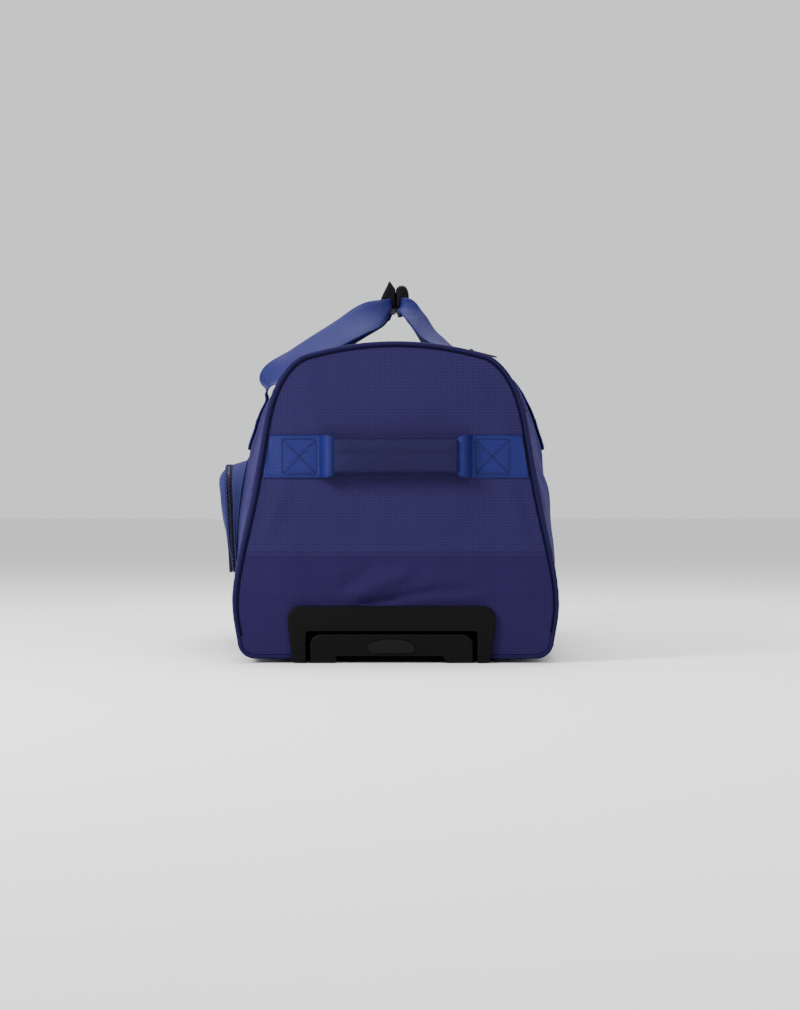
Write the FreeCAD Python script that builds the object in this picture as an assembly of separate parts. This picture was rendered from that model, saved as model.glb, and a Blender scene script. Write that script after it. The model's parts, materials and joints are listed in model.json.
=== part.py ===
# Wheeled equipment bag with a telescopic pull handle in one end, two wheels at the other, a main flap
# with a U-shaped zip on top, two carry handles joined by a grip wrap, a grab handle on each end panel
# and a wedge-shaped zip pocket on the left side.
# Millimetres. +Y runs from the handle end to the wheel end, +X is right seen from the handle end, +Z is
# up, and the origin is on the floor under the middle of the bag.
import FreeCAD, Part
import math
import os
from FreeCAD import Vector as V

# ---------------------------------------------------------------- driving dimensions
# bag body
bag_length = 838.0
bag_height = 379.0          # floor to the top of the body
floor_gap = 5.0             # the fabric's height above the floor
fabric_t = 2.5              # outer fabric, foam and lining together
top_radius = 375.0          # the gentle curve across the top
top_half = 104.0            # where that curve ends and the shoulders begin
bottom_half = 166.0         # half of the flat underside
bulge_power = 2.5           # how squarely the sides fill out between the end panels
piping_r = 2.8
piping_stand = 1.0          # how far the piping stands out from the end panel
panel_clear = 0.1
seat_clear = 0.3            # between soft pieces that move apart
seam_z = 127.0              # seam between the upper and lower end panels
bottom_seam_z = 20.0        # where the underside panel meets the side panels

# side profile of an end panel: (half width, height, how much wider it is at mid length)
shoulder = (141.0, 327.0, 21.0)
upper_side = (156.5, 270.0, 29.0)
waist = (170.0, 192.0, 30.0)
hip = (187.5, 112.0, 16.0)
base_side = (192.0, 60.0, 8.0)
toe = (186.0, 22.0, 4.0)     # below it the side rolls under in one arc

# main flap and its zip
flap_half = 76.0            # hinge line and long zip run, each side of the middle
flap_reach = 344.0          # zip line of each end of the flap
flap_corner_r = 35.0
zip_half = 4.0              # half the width of a zip between the fabric edges
zip_gap = 0.8               # half the gap between the two open zip rows
zip_inset = 0.5
zip_t = 1.6
zip_tail = 26.0             # how far the zip runs on past the flap's hinge
hinge_gap = 0.4

# zip sliders and pulls
slider_length = 18.0
slider_width = 9.2
slider_plate = 1.2
slider_clear = 0.4
slider_web = 0.9
lug_width = 3.0
lug_length = 5.0
lug_height = 4.6
pin_r = 1.0
pin_clear = 0.05
pull_length = 32.0
pull_width = 8.6
pull_t = 1.8

# base board and skid rails
board_t = 3.0
board_half = 138.0
rail_width = 16.0
rail_length = 500.0
rail_spread = 100.0         # outer rails, each side of the middle
centre_rail_length = 400.0
screw_r = 2.0
screw_head_r = 3.6
screw_head_t = 2.0
screw_clear = 0.1
rail_screw_pitch = 190.0
rail_end_margin = 25.0      # least distance from a screw to its rail's end
rail_chamfer = 3.0
rail_screw_sink = 0.6       # how far the screw heads lie inside the rail
head_clear = 0.2

# pull handle
trolley_x = -5.0            # the handle sits slightly left of the middle
bezel_width = 243.0
bezel_foot_width = 231.0
bezel_height = 67.0
bezel_corner_r = 13.0
bezel_proud = 6.0
bezel_foot_z = 0.8
recess_half = 101.0
recess_top = 38.0
recess_wall = 3.0
recess_depth = 38.0
recess_corner_r = 4.0
bezel_neck = 0.6            # where the bezel's sides turn in towards its foot, as a share of its height
bezel_rim_r = 2.0
wall_screw_drop = 6.0       # from the recess's top down to the two screws in its back wall
wall_screw_gap = 10.0       # from each tube to the screw beside it
wall_screw_reach = 10.0     # how far those screws reach past the wall
bracket_depth = 16.0
bracket_margin = 6.0        # of the brackets past the tubes
bracket_corner_r = 4.0
bracket_window = 40.0       # half width of the front bracket's window
bracket_window_rim = 5.0
rear_bracket_hold = 18.0    # how far the rear bracket reaches over the tubes' ends
rear_bracket_wall = 6.0
rear_bracket_roof = 4.0
grip_half = 96.0
grip_top = 34.5
grip_corner_r = 14.0
grip_depth = 25.0
grip_proud = 3.0            # in front of the end panel's plane
grip_split = 12.0           # front shell's depth
grip_wall = 2.4
notch_half = 65.0
notch_height = 8.5
notch_slope = 5.0
grip_rim_r = 1.5
post_spread = 45.0          # screw posts that join the grip's two shells, each side of its middle
post_drop = 9.0
grip_sleeve = 2.5           # wall round the inner tubes' ends in the grip
tube_seat = 1.0             # from the grip's split to the tubes' ends
button_half = 28.0
button_rise = 11.0
button_z = 17.5
button_clear = 0.6
button_proud = 1.2
button_edge_r = 0.8
button_lip = 0.5            # how far the button reaches in past the grip's face wall
flange_t = 2.0
flange_rim = 1.6
tube_spread = 80.0
tube_z = 18.0
tube_width = 26.0
tube_height = 14.0
tube_wall = 1.2
tube_step = 1.0             # running clearance between nested tubes
tube_corner_r = 4.0
rear_screw_spread = 40.0
outer_tube_length = 560.0
middle_tube_length = 520.0
inner_tube_length = 500.0
collar_t = 4.0
plug_clear = 0.25
rod_size = 2.4
rod_length = 440.0
spring_r = 2.6
spring_wire = 0.7
spring_turns = 4.0
spring_spread = 16.0
spring_clear = 0.05

# wheels
wheel_r = 38.0
wheel_width = 24.0
hub_r = 25.0
wheel_x = 163.0
wheel_overhang = 8.0        # past the wheel end's plane
axle_r = 4.0
axle_clear = 0.05
axle_head_r = 7.0
axle_head_t = 2.5
boss_clear = 0.3            # between the hub's boss and the housing's cheek
housing_gap = 4.0           # between the wheel and its housing
cheek_t = 4.0
housing_top = 96.0
housing_corner_r = 16.0
tyre_edge_r = 5.0
boss_wall = 5.0
hub_rim = 4.0
hub_dish = 2.5

# grab handles on the end panels
band_width = 50.0
band_z = 243.0
band_t = 2.4
grab_half = 72.0            # half the padded grip
grab_height = 43.5
grab_t = 12.0
grab_stand = 15.0           # finger gap behind the grip
stitch_half = 90.0          # where the webbing leaves the panel

# side pocket
pocket_half = 170.0
pocket_bottom = 100.0
pocket_top = 246.0
pocket_out = 227.0          # half width at the fullest point
pocket_full_z = 219.0
pocket_low_out = 207.8      # half width at the bottom edge
pocket_corner_r = 45.0
pocket_lip_r = 24.0
pocket_t = 2.0
pocket_zip_low = 207.5      # half width of the zip line at the bottom and higher up
pocket_zip_high = 213.0
pocket_zip_high_z = 205.0
pocket_slider_z = 140.0
pocket_hinge_z = 152.0      # below it the pocket's face is sewn down
pocket_stitch = 5.0         # how near the sewn part of the face comes to the pocket's ends

# carry handles and grip wrap
strap_x = 179.0             # the straps' feet, outside the patches
strap_y = 150.0
strap_width = 50.0
strap_t = 2.4
patch_low = 256.0
patch_top = 300.0
patch_t = 3.0
left_strap_way = (          # (half width, half length, height) from the left foot to the wrap
    (174.0, 150.0, 322.0), (165.0, 148.0, 341.0), (149.0, 142.0, 362.0), (124.0, 131.0, 384.0),
    (90.0, 116.0, 407.0), (52.0, 98.0, 431.0), (25.0, 80.0, 451.0), (9.0, 61.0, 460.0),
)
left_strap_turns = (        # (level share, upright share) of the webbing's width at each of those places
    (1.0, 0.0), (1.0, 0.2), (1.0, 0.5), (0.8, 0.6), (0.8, 0.7), (0.7, 0.8), (0.3, 1.0), (0.0, 1.0),
)
left_strap_gather = (       # (share of the full width, layers) at each of those places
    (1.0, 1.0), (1.0, 1.0), (1.0, 1.0), (1.0, 1.0), (1.0, 1.0), (1.0, 1.0), (0.72, 1.4), (0.46, 2.0),
)
right_strap_way = (
    (175.0, 149.0, 320.0), (158.0, 144.0, 341.0), (128.0, 134.0, 360.0), (96.0, 121.0, 374.0),
    (66.0, 108.0, 390.0), (43.0, 95.0, 410.0), (24.0, 80.0, 434.0), (9.0, 67.0, 456.0), (7.0, 60.0, 460.0),
)
right_strap_turns = (
    (1.0, 0.0), (1.0, 0.0), (1.0, 0.0), (1.0, 0.1), (1.0, 0.25), (1.0, 0.4), (0.6, 0.7), (0.1, 1.0),
    (0.0, 1.0),
)
right_strap_gather = (
    (1.0, 1.0), (1.0, 1.0), (1.0, 1.0), (1.0, 1.0), (1.0, 1.0), (0.9, 1.0), (0.7, 1.4), (0.48, 1.9),
    (0.46, 2.0),
)
wrap_half = 58.0
left_wrap_form = (          # section of the left half of the wrap: (x, height), peaked on top
    (-0.8, 472.0), (-9.0, 482.0), (-20.5, 457.0), (-17.5, 448.0), (-9.0, 445.0), (-0.8, 446.0),
)
right_wrap_form = (
    (-0.4, 471.5), (5.5, 476.0), (12.5, 474.0), (16.5, 466.0), (16.0, 455.0), (11.0, 447.5), (3.0, 444.5),
    (-0.4, 445.5),
)

half_length = bag_length / 2
body_half = half_length - 2 * piping_r      # where the side fabric meets the piping
front_y = -half_length
top_centre_z = bag_height - top_radius
PARTS = "parts"

# reach of the blocks that shapes are cut with, past the bag on every side
wide = 300.0
high = 430.0
over_cut = 1.0


# ---------------------------------------------------------------- small helpers
def box(x0, x1, y0, y1, z0, z1):
    return Part.makeBox(x1 - x0, y1 - y0, z1 - z0, V(x0, y0, z0))


def cylinder(centre, axis, radius, length):
    """A cylinder of that length whose middle is at centre."""
    start = centre - axis * (length / 2)
    return Part.makeCylinder(radius, length, start, axis)


def prism(points, vector):
    """Extrudes the closed polygon through points along vector."""
    return Part.Face(Part.makePolygon(points + [points[0]])).extrude(vector)


def rounded_plate(x0, x1, z0, z1, radius, y0, y1, top_only=False):
    """A plate in the XZ plane with rounded corners, from y0 to y1."""
    plate = box(x0, x1, y0, y1, z0, z1)
    edges = [
        e for e in plate.Edges
        if abs(e.Vertexes[0].X - e.Vertexes[1].X) < 1e-6
        and abs(e.Vertexes[0].Z - e.Vertexes[1].Z) < 1e-6
        and not (top_only and e.Vertexes[0].Z < (z0 + z1) / 2)
    ]
    return plate.makeFillet(radius, edges)


def solids_of(shape, least=1.0):
    """The shape's solids as one compound, without slivers under least cubic millimetres."""
    kept = [s for s in shape.Solids if s.Volume > least]
    return kept[0] if len(kept) == 1 else Part.Compound(kept)


def mirror_x(shape):
    return shape.mirror(V(0, 0, 0), V(1, 0, 0))


def mirror_y(shape):
    return shape.mirror(V(0, 0, 0), V(0, 1, 0))


def save(name, *shapes):
    flat = [s for shape in shapes for s in shape.Solids]
    whole = flat[0] if len(flat) == 1 else Part.Compound(flat)
    whole.exportStep(os.path.join(PARTS, name + ".step"))


# ---------------------------------------------------------------- body form
def bulge_at(y):
    share = min(1.0, abs(y) / half_length)
    return 1.0 - share ** bulge_power


def toe_arc(y):
    """Centre and radius of the arc that rolls a side under into the flat underside, and its start."""
    x, z, b = toe
    start = V(x + b * bulge_at(y), y, z)
    run, rise = start.x - bottom_half, start.z - floor_gap
    radius = (run * run + rise * rise) / (2 * rise)
    return V(bottom_half, y, floor_gap + radius), radius, start


def side_curve(y, inset):
    """Right-hand side of the body's section at y, from the top curve down to the toe."""
    grow = bulge_at(y)
    angle = math.asin(top_half / top_radius)
    start = V(top_half, y, top_centre_z + top_radius * math.cos(angle))
    stations = [shoulder, upper_side, waist, hip, base_side]
    centre, radius, end = toe_arc(y)
    points = [start] + [V(x + b * grow, y, z) for x, z, b in stations] + [end]
    spoke = (end - centre) / radius
    ends = {"InitialTangent": V(math.cos(angle), 0, -math.sin(angle)),
            "FinalTangent": V(spoke.z, 0, -spoke.x), "Scale": False}
    curve = Part.BSplineCurve()
    curve.interpolate(points, **ends)
    if inset:
        moved = []
        for p in points:
            t = curve.tangent(curve.parameter(p))[0]
            moved.append(p - V(-t.z, 0, t.x) * inset)
        curve = Part.BSplineCurve()
        curve.interpolate(moved, **ends)
    return curve


def section_wire(y, inset=0.0, form_y=None):
    """The body's section at y as a closed wire; form_y takes the form of another station."""
    shape_y = y if form_y is None else form_y
    centre, radius, end = toe_arc(shape_y)
    roll = radius - inset
    spokes = [(end - centre) / radius, V(0, 0, -1)]
    between = spokes[0] + spokes[1]
    between.normalize()
    under = Part.Arc(centre + spokes[0] * roll, centre + between * roll, centre + spokes[1] * roll)
    right = [side_curve(shape_y, inset).toShape(), under.toShape()]
    for edge in right:
        edge.translate(V(0, y - shape_y, 0))
    left = [mirror_x(edge) for edge in right]
    arc_radius = top_radius - inset
    angle = math.asin(top_half / top_radius)
    ends = [
        V(s * arc_radius * math.sin(angle), y, top_centre_z + arc_radius * math.cos(angle)) for s in (-1, 1)
    ]
    top = Part.Arc(ends[0], V(0, y, top_centre_z + arc_radius), ends[1]).toShape()
    low = floor_gap + inset
    bottom = Part.LineSegment(V(bottom_half, y, low), V(-bottom_half, y, low)).toShape()
    return Part.Wire(Part.__sortEdges__([top] + right + [bottom] + left))


def body_loft(inset, reach=body_half):
    shares = (-1.0, -0.72, -0.4, 0.0, 0.4, 0.72, 1.0)
    wires = [section_wire(reach * s, inset) for s in shares]
    return Part.makeLoft(wires, True, False)


def end_plate(y0, y1, inset):
    """A flat plate with an end panel's outline, from y0 to y1."""
    face = Part.Face(section_wire(y0, inset, front_y))
    return face.extrude(V(0, y1 - y0, 0))


# ---------------------------------------------------------------- main flap outline, seen from above
def flap_plan(offset, right, low=300.0, high=430.0):
    """Column over the flap's outline grown by offset, cut off at right; its two left corners are round."""
    left = -(flap_half + offset)
    reach = flap_reach + offset
    column = box(left, right, -reach, reach, low, high)
    corners = [
        e for e in column.Edges
        if abs(e.Vertexes[0].X - left) < 1e-6 and abs(e.Vertexes[1].X - left) < 1e-6
        and abs(e.Vertexes[0].Y - e.Vertexes[1].Y) < 1e-6
    ]
    return column.makeFillet(flap_corner_r + offset, corners)


# ---------------------------------------------------------------- zip slider and pull, in their own frame
def local_slider():
    """U along the zip, V across it, W out of the fabric, whose face is at W 0."""
    half, wide = slider_length / 2, slider_width / 2
    under = -(fabric_t + slider_clear)
    top = box(-half, half, -wide, wide, slider_clear, slider_clear + slider_plate)
    ends = [e for e in top.Edges if abs(e.Vertexes[0].X - e.Vertexes[1].X) < 1e-6
            and abs(e.Vertexes[0].Y - e.Vertexes[1].Y) < 1e-6]
    top = top.makeFillet(3.0, ends)
    web = box(-half, half, -slider_web / 2, slider_web / 2, under, slider_clear)
    narrow = zip_half - slider_clear
    plate = box(-half, half, -narrow, narrow, under - slider_plate, under)
    deck = slider_clear + slider_plate
    lug = box(-lug_length / 2, lug_length / 2, -lug_width / 2, lug_width / 2, deck, deck + lug_height)
    hole = cylinder(V(0, 0, deck + lug_height / 2), V(0, 1, 0), pin_r, lug_width + 2)
    return top.fuse([web, plate, lug]).cut(hole).removeSplitter()


def local_pull():
    """A forked tab whose cross pin turns in the slider's lug; it points along +U."""
    deck = slider_clear + slider_plate + lug_height / 2
    back = -1.6
    tab = box(back, pull_length, -pull_width / 2, pull_width / 2, deck - pull_t / 2, deck + pull_t / 2)
    far = [e for e in tab.Edges if abs(e.Vertexes[0].X - pull_length) < 1e-6
           and abs(e.Vertexes[1].X - pull_length) < 1e-6
           and abs(e.Vertexes[0].Y - e.Vertexes[1].Y) < 1e-6]
    tab = tab.makeFillet(pull_width / 2 - 0.6, far)
    slot_end = math.hypot(lug_length / 2, lug_height / 2) + 0.6
    half_slot = lug_width / 2 + slider_clear
    slot = box(back - 1, slot_end, -half_slot, half_slot, deck - pull_t, deck + pull_t)
    window = cylinder(V(pull_length - 6.0, 0, deck), V(0, 0, 1), 2.2, pull_t * 2)
    pin = cylinder(V(0, 0, deck), V(0, 1, 0), pin_r - pin_clear, pull_width - 1.0)
    return tab.cut(slot).cut(window).fuse(pin).removeSplitter()


def placed(shape, origin, along, out):
    """Puts a slider-frame shape at origin, with U along and W out."""
    across = out.cross(along)
    m = FreeCAD.Matrix(
        along.x, across.x, out.x, origin.x,
        along.y, across.y, out.y, origin.y,
        along.z, across.z, out.z, origin.z,
        0, 0, 0, 1,
    )
    done = shape.copy()
    done.transformShape(m)
    return done


# ---------------------------------------------------------------- tubes
def tube_blank(cx, width, height, corner, y0, y1):
    bar = box(cx - width / 2, cx + width / 2, y0, y1, tube_z - height / 2, tube_z + height / 2)
    edges = [e for e in bar.Edges if abs(e.Vertexes[0].Y - e.Vertexes[1].Y) > 1e-6]
    return bar.makeFillet(corner, edges)


def tube(cx, shrink, y0, y1):
    """One tube of the nest; shrink is how much smaller than the outer tube it is on every side."""
    w, h = tube_width - 2 * shrink, tube_height - 2 * shrink
    corner = max(0.8, tube_corner_r - shrink)
    bore_corner = max(0.4, corner - tube_wall)
    hollow = tube_blank(cx, w - 2 * tube_wall, h - 2 * tube_wall, bore_corner, y0 - 1, y1 + 1)
    return tube_blank(cx, w, h, corner, y0, y1).cut(hollow)


# ---------------------------------------------------------------- straps
def ribbon(stations):
    """A webbing solid through stations of (centre, width direction, width, thickness)."""
    wires = []
    centres = [s[0] for s in stations]
    for i, (centre, across, width, thick) in enumerate(stations):
        ahead = centres[min(i + 1, len(centres) - 1)] - centres[max(i - 1, 0)]
        ahead.normalize()
        wide = across - ahead * across.dot(ahead)
        wide.normalize()
        out = ahead.cross(wide)
        corners = [
            centre + wide * (sw * width / 2) + out * (st * thick / 2)
            for sw, st in ((-1, -1), (1, -1), (1, 1), (-1, 1))
        ]
        wires.append(Part.makePolygon(corners + [corners[0]]))
    return Part.makeLoft(wires, True, True)


def handle_stations(half):
    """Adds the other leg, mirrored in Y, to the stations from an anchor to the middle of a handle."""
    other = [(V(c.x, -c.y, c.z), V(-w.x, w.y, -w.z), width, thick) for c, w, width, thick in half[:-1]]
    return half + other[::-1]


# ================================================================ assemblies
def make_body_panels():
    outer = body_loft(0.0)
    inner = body_loft(fabric_t, body_half + 1.0)
    shell = outer.cut(inner)
    hinge_x = flap_half
    band = flap_plan(zip_half, hinge_x + zip_tail).cut(flap_plan(-zip_half, hinge_x + zip_tail + 1))
    opening = flap_plan(zip_half, hinge_x + hinge_gap)

    reach = bag_length
    housing_cut = wheel_housing_cut()
    recess_cut = recess_envelope()
    under = box(-wide, wide, -reach, reach, 0, bottom_seam_z)
    over = box(-wide, wide, -reach, reach, bottom_seam_z, high)
    cuts = [housing_cut, mirror_x(housing_cut), recess_cut]

    drills = [cylinder(spot, V(0, 0, 1), screw_r, 2 * bottom_seam_z) for spot in rail_screw_spots()]
    bottom = shell.common(under).cut(cuts + drills)
    sides = shell.common(over).cut([band] + cuts)
    left = sides.common(box(-wide, -hinge_x, -reach, reach, 0, high)).cut(opening)
    right = sides.common(box(hinge_x + hinge_gap, wide, -reach, reach, 0, high))
    ends = sides.common(box(-hinge_x, hinge_x + hinge_gap, -reach, reach, seam_z, high)).cut(opening)
    front_top = ends.common(box(-wide, wide, -reach, 0, seam_z, high))
    rear_top = ends.common(box(-wide, wide, 0, reach, seam_z, high))
    flap = shell.common(flap_plan(-zip_half, hinge_x - hinge_gap))

    layer = body_loft(zip_inset).cut(body_loft(zip_inset + zip_t))
    tail = hinge_x + zip_tail
    body_row = layer.common(flap_plan(zip_half, tail).cut(flap_plan(zip_gap, tail + 1)))
    flap_rows = layer.common(flap_plan(-zip_gap, tail).cut(flap_plan(-zip_half, tail + 1)))
    tail_rows = flap_rows.common(box(hinge_x + hinge_gap, tail, -reach, reach, seam_z, high))
    flap_row = flap_rows.common(box(-wide, hinge_x - hinge_gap, -reach, reach, seam_z, high))

    save("bottom_panel", solids_of(bottom))
    save("left_side_panel", solids_of(left))
    save("right_side_panel", solids_of(right))
    save("front_top_panel", solids_of(front_top))
    save("rear_top_panel", solids_of(rear_top))
    save("main_flap", solids_of(flap))
    save("body_zip_row", solids_of(body_row), solids_of(tail_rows))
    save("flap_zip_row", solids_of(flap_row))
    return outer


def make_end_panels():
    outline_inset = 2 * piping_r + panel_clear
    y_face = half_length - piping_stand
    plate = end_plate(-y_face, -y_face + fabric_t, outline_inset).cut(recess_envelope())
    save("front_end_panel", solids_of(plate.common(box(-wide, wide, -bag_length, 0, seam_z, high))))
    save("front_lower_panel", solids_of(plate.common(box(-wide, wide, -bag_length, 0, 0, seam_z))))
    housing = wheel_housing_cut()
    rear = end_plate(y_face, y_face - fabric_t, outline_inset).cut([housing, mirror_x(housing)])
    save("rear_end_panel", solids_of(rear))


def make_piping():
    """A round cord in the corner between each end panel and the side fabric."""
    for side, name in ((-1, "front"), (1, "rear")):
        y = side * (half_length - piping_r)
        path = section_wire(y, piping_r, front_y)
        start = V(0, y, bag_height - piping_r)
        ring = Part.Wire(Part.makeCircle(piping_r, start, V(1, 0, 0)))
        path = wire_from_top(path)
        cord = path.makePipeShell([ring], True, False)
        if side < 0:
            cord = cord.cut(recess_envelope())
        else:
            housing = wheel_housing_cut()
            cord = cord.cut([housing, mirror_x(housing)])
        save(name + "_piping", solids_of(cord))


def wire_from_top(wire):
    """The same closed wire, with its top arc split at the middle so that it starts there."""
    edges = []
    for e in wire.Edges:
        low = min(v.Z for v in e.Vertexes)
        if low > top_centre_z + top_radius * 0.9 and e.Length > top_half:
            half = (e.FirstParameter + e.LastParameter) / 2
            edges += [e.Curve.toShape(e.FirstParameter, half), e.Curve.toShape(half, e.LastParameter)]
        else:
            edges.append(e)
    return Part.Wire(Part.__sortEdges__(edges))


def make_main_sliders():
    """Both sliders wait past the flap's hinge, at the ends of the zip; their pulls lie down the slope."""
    along_arc = flap_half + zip_tail / 2 + 1.0
    angle = math.asin(along_arc / top_radius)
    out = V(math.sin(angle), 0, math.cos(angle))
    along = V(math.cos(angle), 0, -math.sin(angle))
    for side, name in ((-1, "front"), (1, "rear")):
        origin = V(0, side * flap_reach, top_centre_z) + out * top_radius
        save(name + "_zip_slider", placed(local_slider(), origin, along, out))
        save(name + "_zip_pull", placed(local_pull(), origin, along, out))


# ---------------------------------------------------------------- pull handle
def recess_envelope():
    """Everything that the handle's recess takes out of the fabric."""
    half = recess_half + recess_wall
    return box(trolley_x - half, trolley_x + half, front_y - 20, front_y + recess_depth,
               -1, recess_top + recess_wall)


def make_bezel():
    """Outer plate and recess in one moulding; the recess is open underneath for the fingers."""
    top, foot = bezel_width / 2, bezel_foot_width / 2
    y_face = front_y - bezel_proud
    y_back = front_y + piping_stand
    outline = [
        V(trolley_x - foot, y_face, bezel_foot_z), V(trolley_x - top, y_face, bezel_height * bezel_neck),
        V(trolley_x - top, y_face, bezel_height), V(trolley_x + top, y_face, bezel_height),
        V(trolley_x + top, y_face, bezel_height * bezel_neck), V(trolley_x + foot, y_face, bezel_foot_z),
    ]
    plate = prism(outline, V(0, y_back - y_face, 0))
    corners = [e for e in plate.Edges if min(v.Z for v in e.Vertexes) > bezel_height - 1e-6
               and abs(e.Vertexes[0].Y - e.Vertexes[1].Y) > 1e-6]
    plate = plate.makeFillet(bezel_corner_r, corners)
    rim = [e for e in plate.Edges if max(v.Y for v in e.Vertexes) < y_face + 1e-6
           and min(v.Z for v in e.Vertexes) > bezel_foot_z - 1e-6
           and max(v.Z for v in e.Vertexes) > bezel_foot_z + 1e-6]
    plate = plate.makeFillet(bezel_rim_r, rim)
    plate = plate.cut(box(-wide, wide, front_y - panel_clear, y_back + over_cut, 0,
                          floor_gap + 2 * (piping_r + panel_clear)))
    outer = recess_half + recess_wall
    y_end = front_y + recess_depth
    cup = box(trolley_x - outer, trolley_x + outer, y_face + bezel_rim_r, y_end, bezel_foot_z,
              recess_top + recess_wall)
    hollow = box(trolley_x - recess_half, trolley_x + recess_half, y_face - 1, y_end - recess_wall,
                 -1, recess_top)
    top_edges = [e for e in hollow.Edges if abs(e.Vertexes[0].Z - recess_top) < 1e-6
                 and abs(e.Vertexes[1].Z - recess_top) < 1e-6
                 and abs(e.Vertexes[0].Y - e.Vertexes[1].Y) > 1e-6]
    hollow = hollow.makeFillet(recess_corner_r, top_edges)
    moulding = plate.fuse(cup).cut(hollow)
    for s in (-1, 1):
        cx = trolley_x + s * tube_spread
        moulding = moulding.cut(tube_blank(cx, tube_width, tube_height, tube_corner_r,
                                           y_end - recess_wall - 1, y_end + 1))
        screw_at = V(trolley_x + s * bezel_screw_x(), y_end, recess_top - wall_screw_drop)
        moulding = moulding.cut(cylinder(screw_at,
                                         V(0, 1, 0), screw_r, 2 * recess_wall + 4))
    save("handle_bezel", moulding.removeSplitter())


def bezel_screw_x():
    return tube_spread - tube_width / 2 - wall_screw_gap


def round_head_screw(seat, axis, reach):
    """A screw whose head lies on seat and whose shank runs reach along axis."""
    head = cylinder(seat - axis * (screw_head_t / 2), axis, screw_head_r, screw_head_t)
    shank = cylinder(seat + axis * (reach / 2), axis, screw_r - screw_clear, reach)
    return head.fuse(shank).removeSplitter()


def rear_screw_spots():
    y = front_y + recess_depth - recess_wall + outer_tube_length - rear_bracket_wall
    return [V(trolley_x + s * rear_screw_spread, y, 0) for s in (-1, 1)]


def make_frame_screws():
    """Two screws tie the recess to the front bracket, and two hold the rear bracket on the board."""
    y_wall = front_y + recess_depth - recess_wall
    low = floor_gap + fabric_t
    screws = []
    for s in (-1, 1):
        seat = V(trolley_x + s * bezel_screw_x(), y_wall, recess_top - wall_screw_drop)
        screws.append(round_head_screw(seat, V(0, 1, 0),
                                      recess_wall + wall_screw_reach))
    top = rear_bracket_top()
    for spot in rear_screw_spots():
        screws.append(round_head_screw(spot + V(0, 0, top), V(0, 0, -1), top - low))
    save("frame_screws", *screws)


def make_front_bracket():
    """Moulded block behind the recess: it holds both outer tubes and stands on the base board."""
    y0 = front_y + recess_depth
    y1 = y0 + bracket_depth
    half = tube_spread + tube_width / 2 + bracket_margin
    low = floor_gap + fabric_t + board_t
    block = rounded_plate(trolley_x - half, trolley_x + half, low, recess_top, bracket_corner_r,
                          y0, y1, True)
    for s in (-1, 1):
        block = block.cut(tube_blank(trolley_x + s * tube_spread, tube_width, tube_height, tube_corner_r,
                                     y0 - 1, y1 + 1))
        block = block.cut(cylinder(V(trolley_x + s * bezel_screw_x(), y0, recess_top - wall_screw_drop),
                                   V(0, 1, 0), screw_r, 21.0))
    window = rounded_plate(trolley_x - bracket_window, trolley_x + bracket_window, low + bracket_window_rim,
                           recess_top - bracket_window_rim, bracket_corner_r, y0 - 1, y1 + 1)
    save("front_frame_bracket", block.cut(window))


def make_tubes():
    """Three nested pairs of tubes with a guide collar or plug at each working end."""
    y_outer = front_y + recess_depth - recess_wall
    y_middle = front_y - grip_proud + grip_depth + collar_t + 1.0
    y_inner = front_y - grip_proud + grip_split + tube_seat
    step = tube_wall + tube_step
    outer, middle, inner = [], [], []
    collars, middle_collars, middle_plugs, inner_plugs = [], [], [], []
    for s in (-1, 1):
        cx = trolley_x + s * tube_spread
        outer.append(tube(cx, 0.0, y_outer, y_outer + outer_tube_length))
        middle.append(tube(cx, step, y_middle, y_middle + middle_tube_length))
        inner.append(tube(cx, 2 * step, y_inner, y_inner + inner_tube_length))
        # a collar just inside the mouth of the outer tube, and one inside the middle tube
        for shrink, y_mouth, rings in ((0.0, y_outer, collars), (step, y_middle, middle_collars)):
            lip = tube_wall + 0.05 + shrink
            ring = tube_blank(cx, tube_width - 2 * lip, tube_height - 2 * lip,
                              max(0.6, tube_corner_r - lip), y_mouth + 1, y_mouth + 1 + 2 * collar_t)
            through = shrink + step - plug_clear
            bore = tube_blank(cx, tube_width - 2 * through, tube_height - 2 * through,
                              max(0.5, tube_corner_r - through), y_mouth, y_mouth + 4 * collar_t)
            rings.append(ring.cut(bore))
        # guide plugs in the far ends of the moving tubes run in the tube around them
        for shrink, y_mouth, length, plugs in (
            (step, y_middle, middle_tube_length, middle_plugs),
            (2 * step, y_inner, inner_tube_length, inner_plugs),
        ):
            around = shrink - tube_step + plug_clear
            y_end = y_mouth + length
            head = tube_blank(cx, tube_width - 2 * around, tube_height - 2 * around,
                              max(0.5, tube_corner_r - around), y_end, y_end + 6.0)
            if plugs is middle_plugs:
                free = 2 * step - tube_step
                clear = tube_blank(cx, tube_width - 2 * free, tube_height - 2 * free, 0.5,
                                   y_end - 1, y_end + 7)
                head = head.cut(clear)
            plugs.append(head)
    save("outer_tubes", *outer)
    save("outer_tube_collars", *collars)
    save("middle_tubes", *middle)
    save("middle_tube_glides", *middle_collars, *middle_plugs)
    save("inner_tubes", *inner)
    save("inner_tube_guides", *inner_plugs)
    make_rear_bracket(y_outer + outer_tube_length)


def rear_bracket_top():
    return tube_z + tube_height / 2 + rear_bracket_roof


def make_rear_bracket(y_end):
    """A crossbar that closes the outer tubes' far ends and screws down on the base board."""
    low = floor_gap + fabric_t + board_t
    half = tube_spread + tube_width / 2 + bracket_margin
    bar = rounded_plate(trolley_x - half, trolley_x + half, low, rear_bracket_top(),
                        bracket_corner_r, y_end - rear_bracket_hold, y_end + rear_bracket_wall, True)
    for s in (-1, 1):
        bar = bar.cut(tube_blank(trolley_x + s * tube_spread, tube_width, tube_height, tube_corner_r,
                                 y_end - rear_bracket_hold - over_cut, y_end))
    for spot in rear_screw_spots():
        bar = bar.cut(cylinder(spot, V(0, 0, 1), screw_r, 100.0))
    save("rear_frame_bracket", bar)


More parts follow.
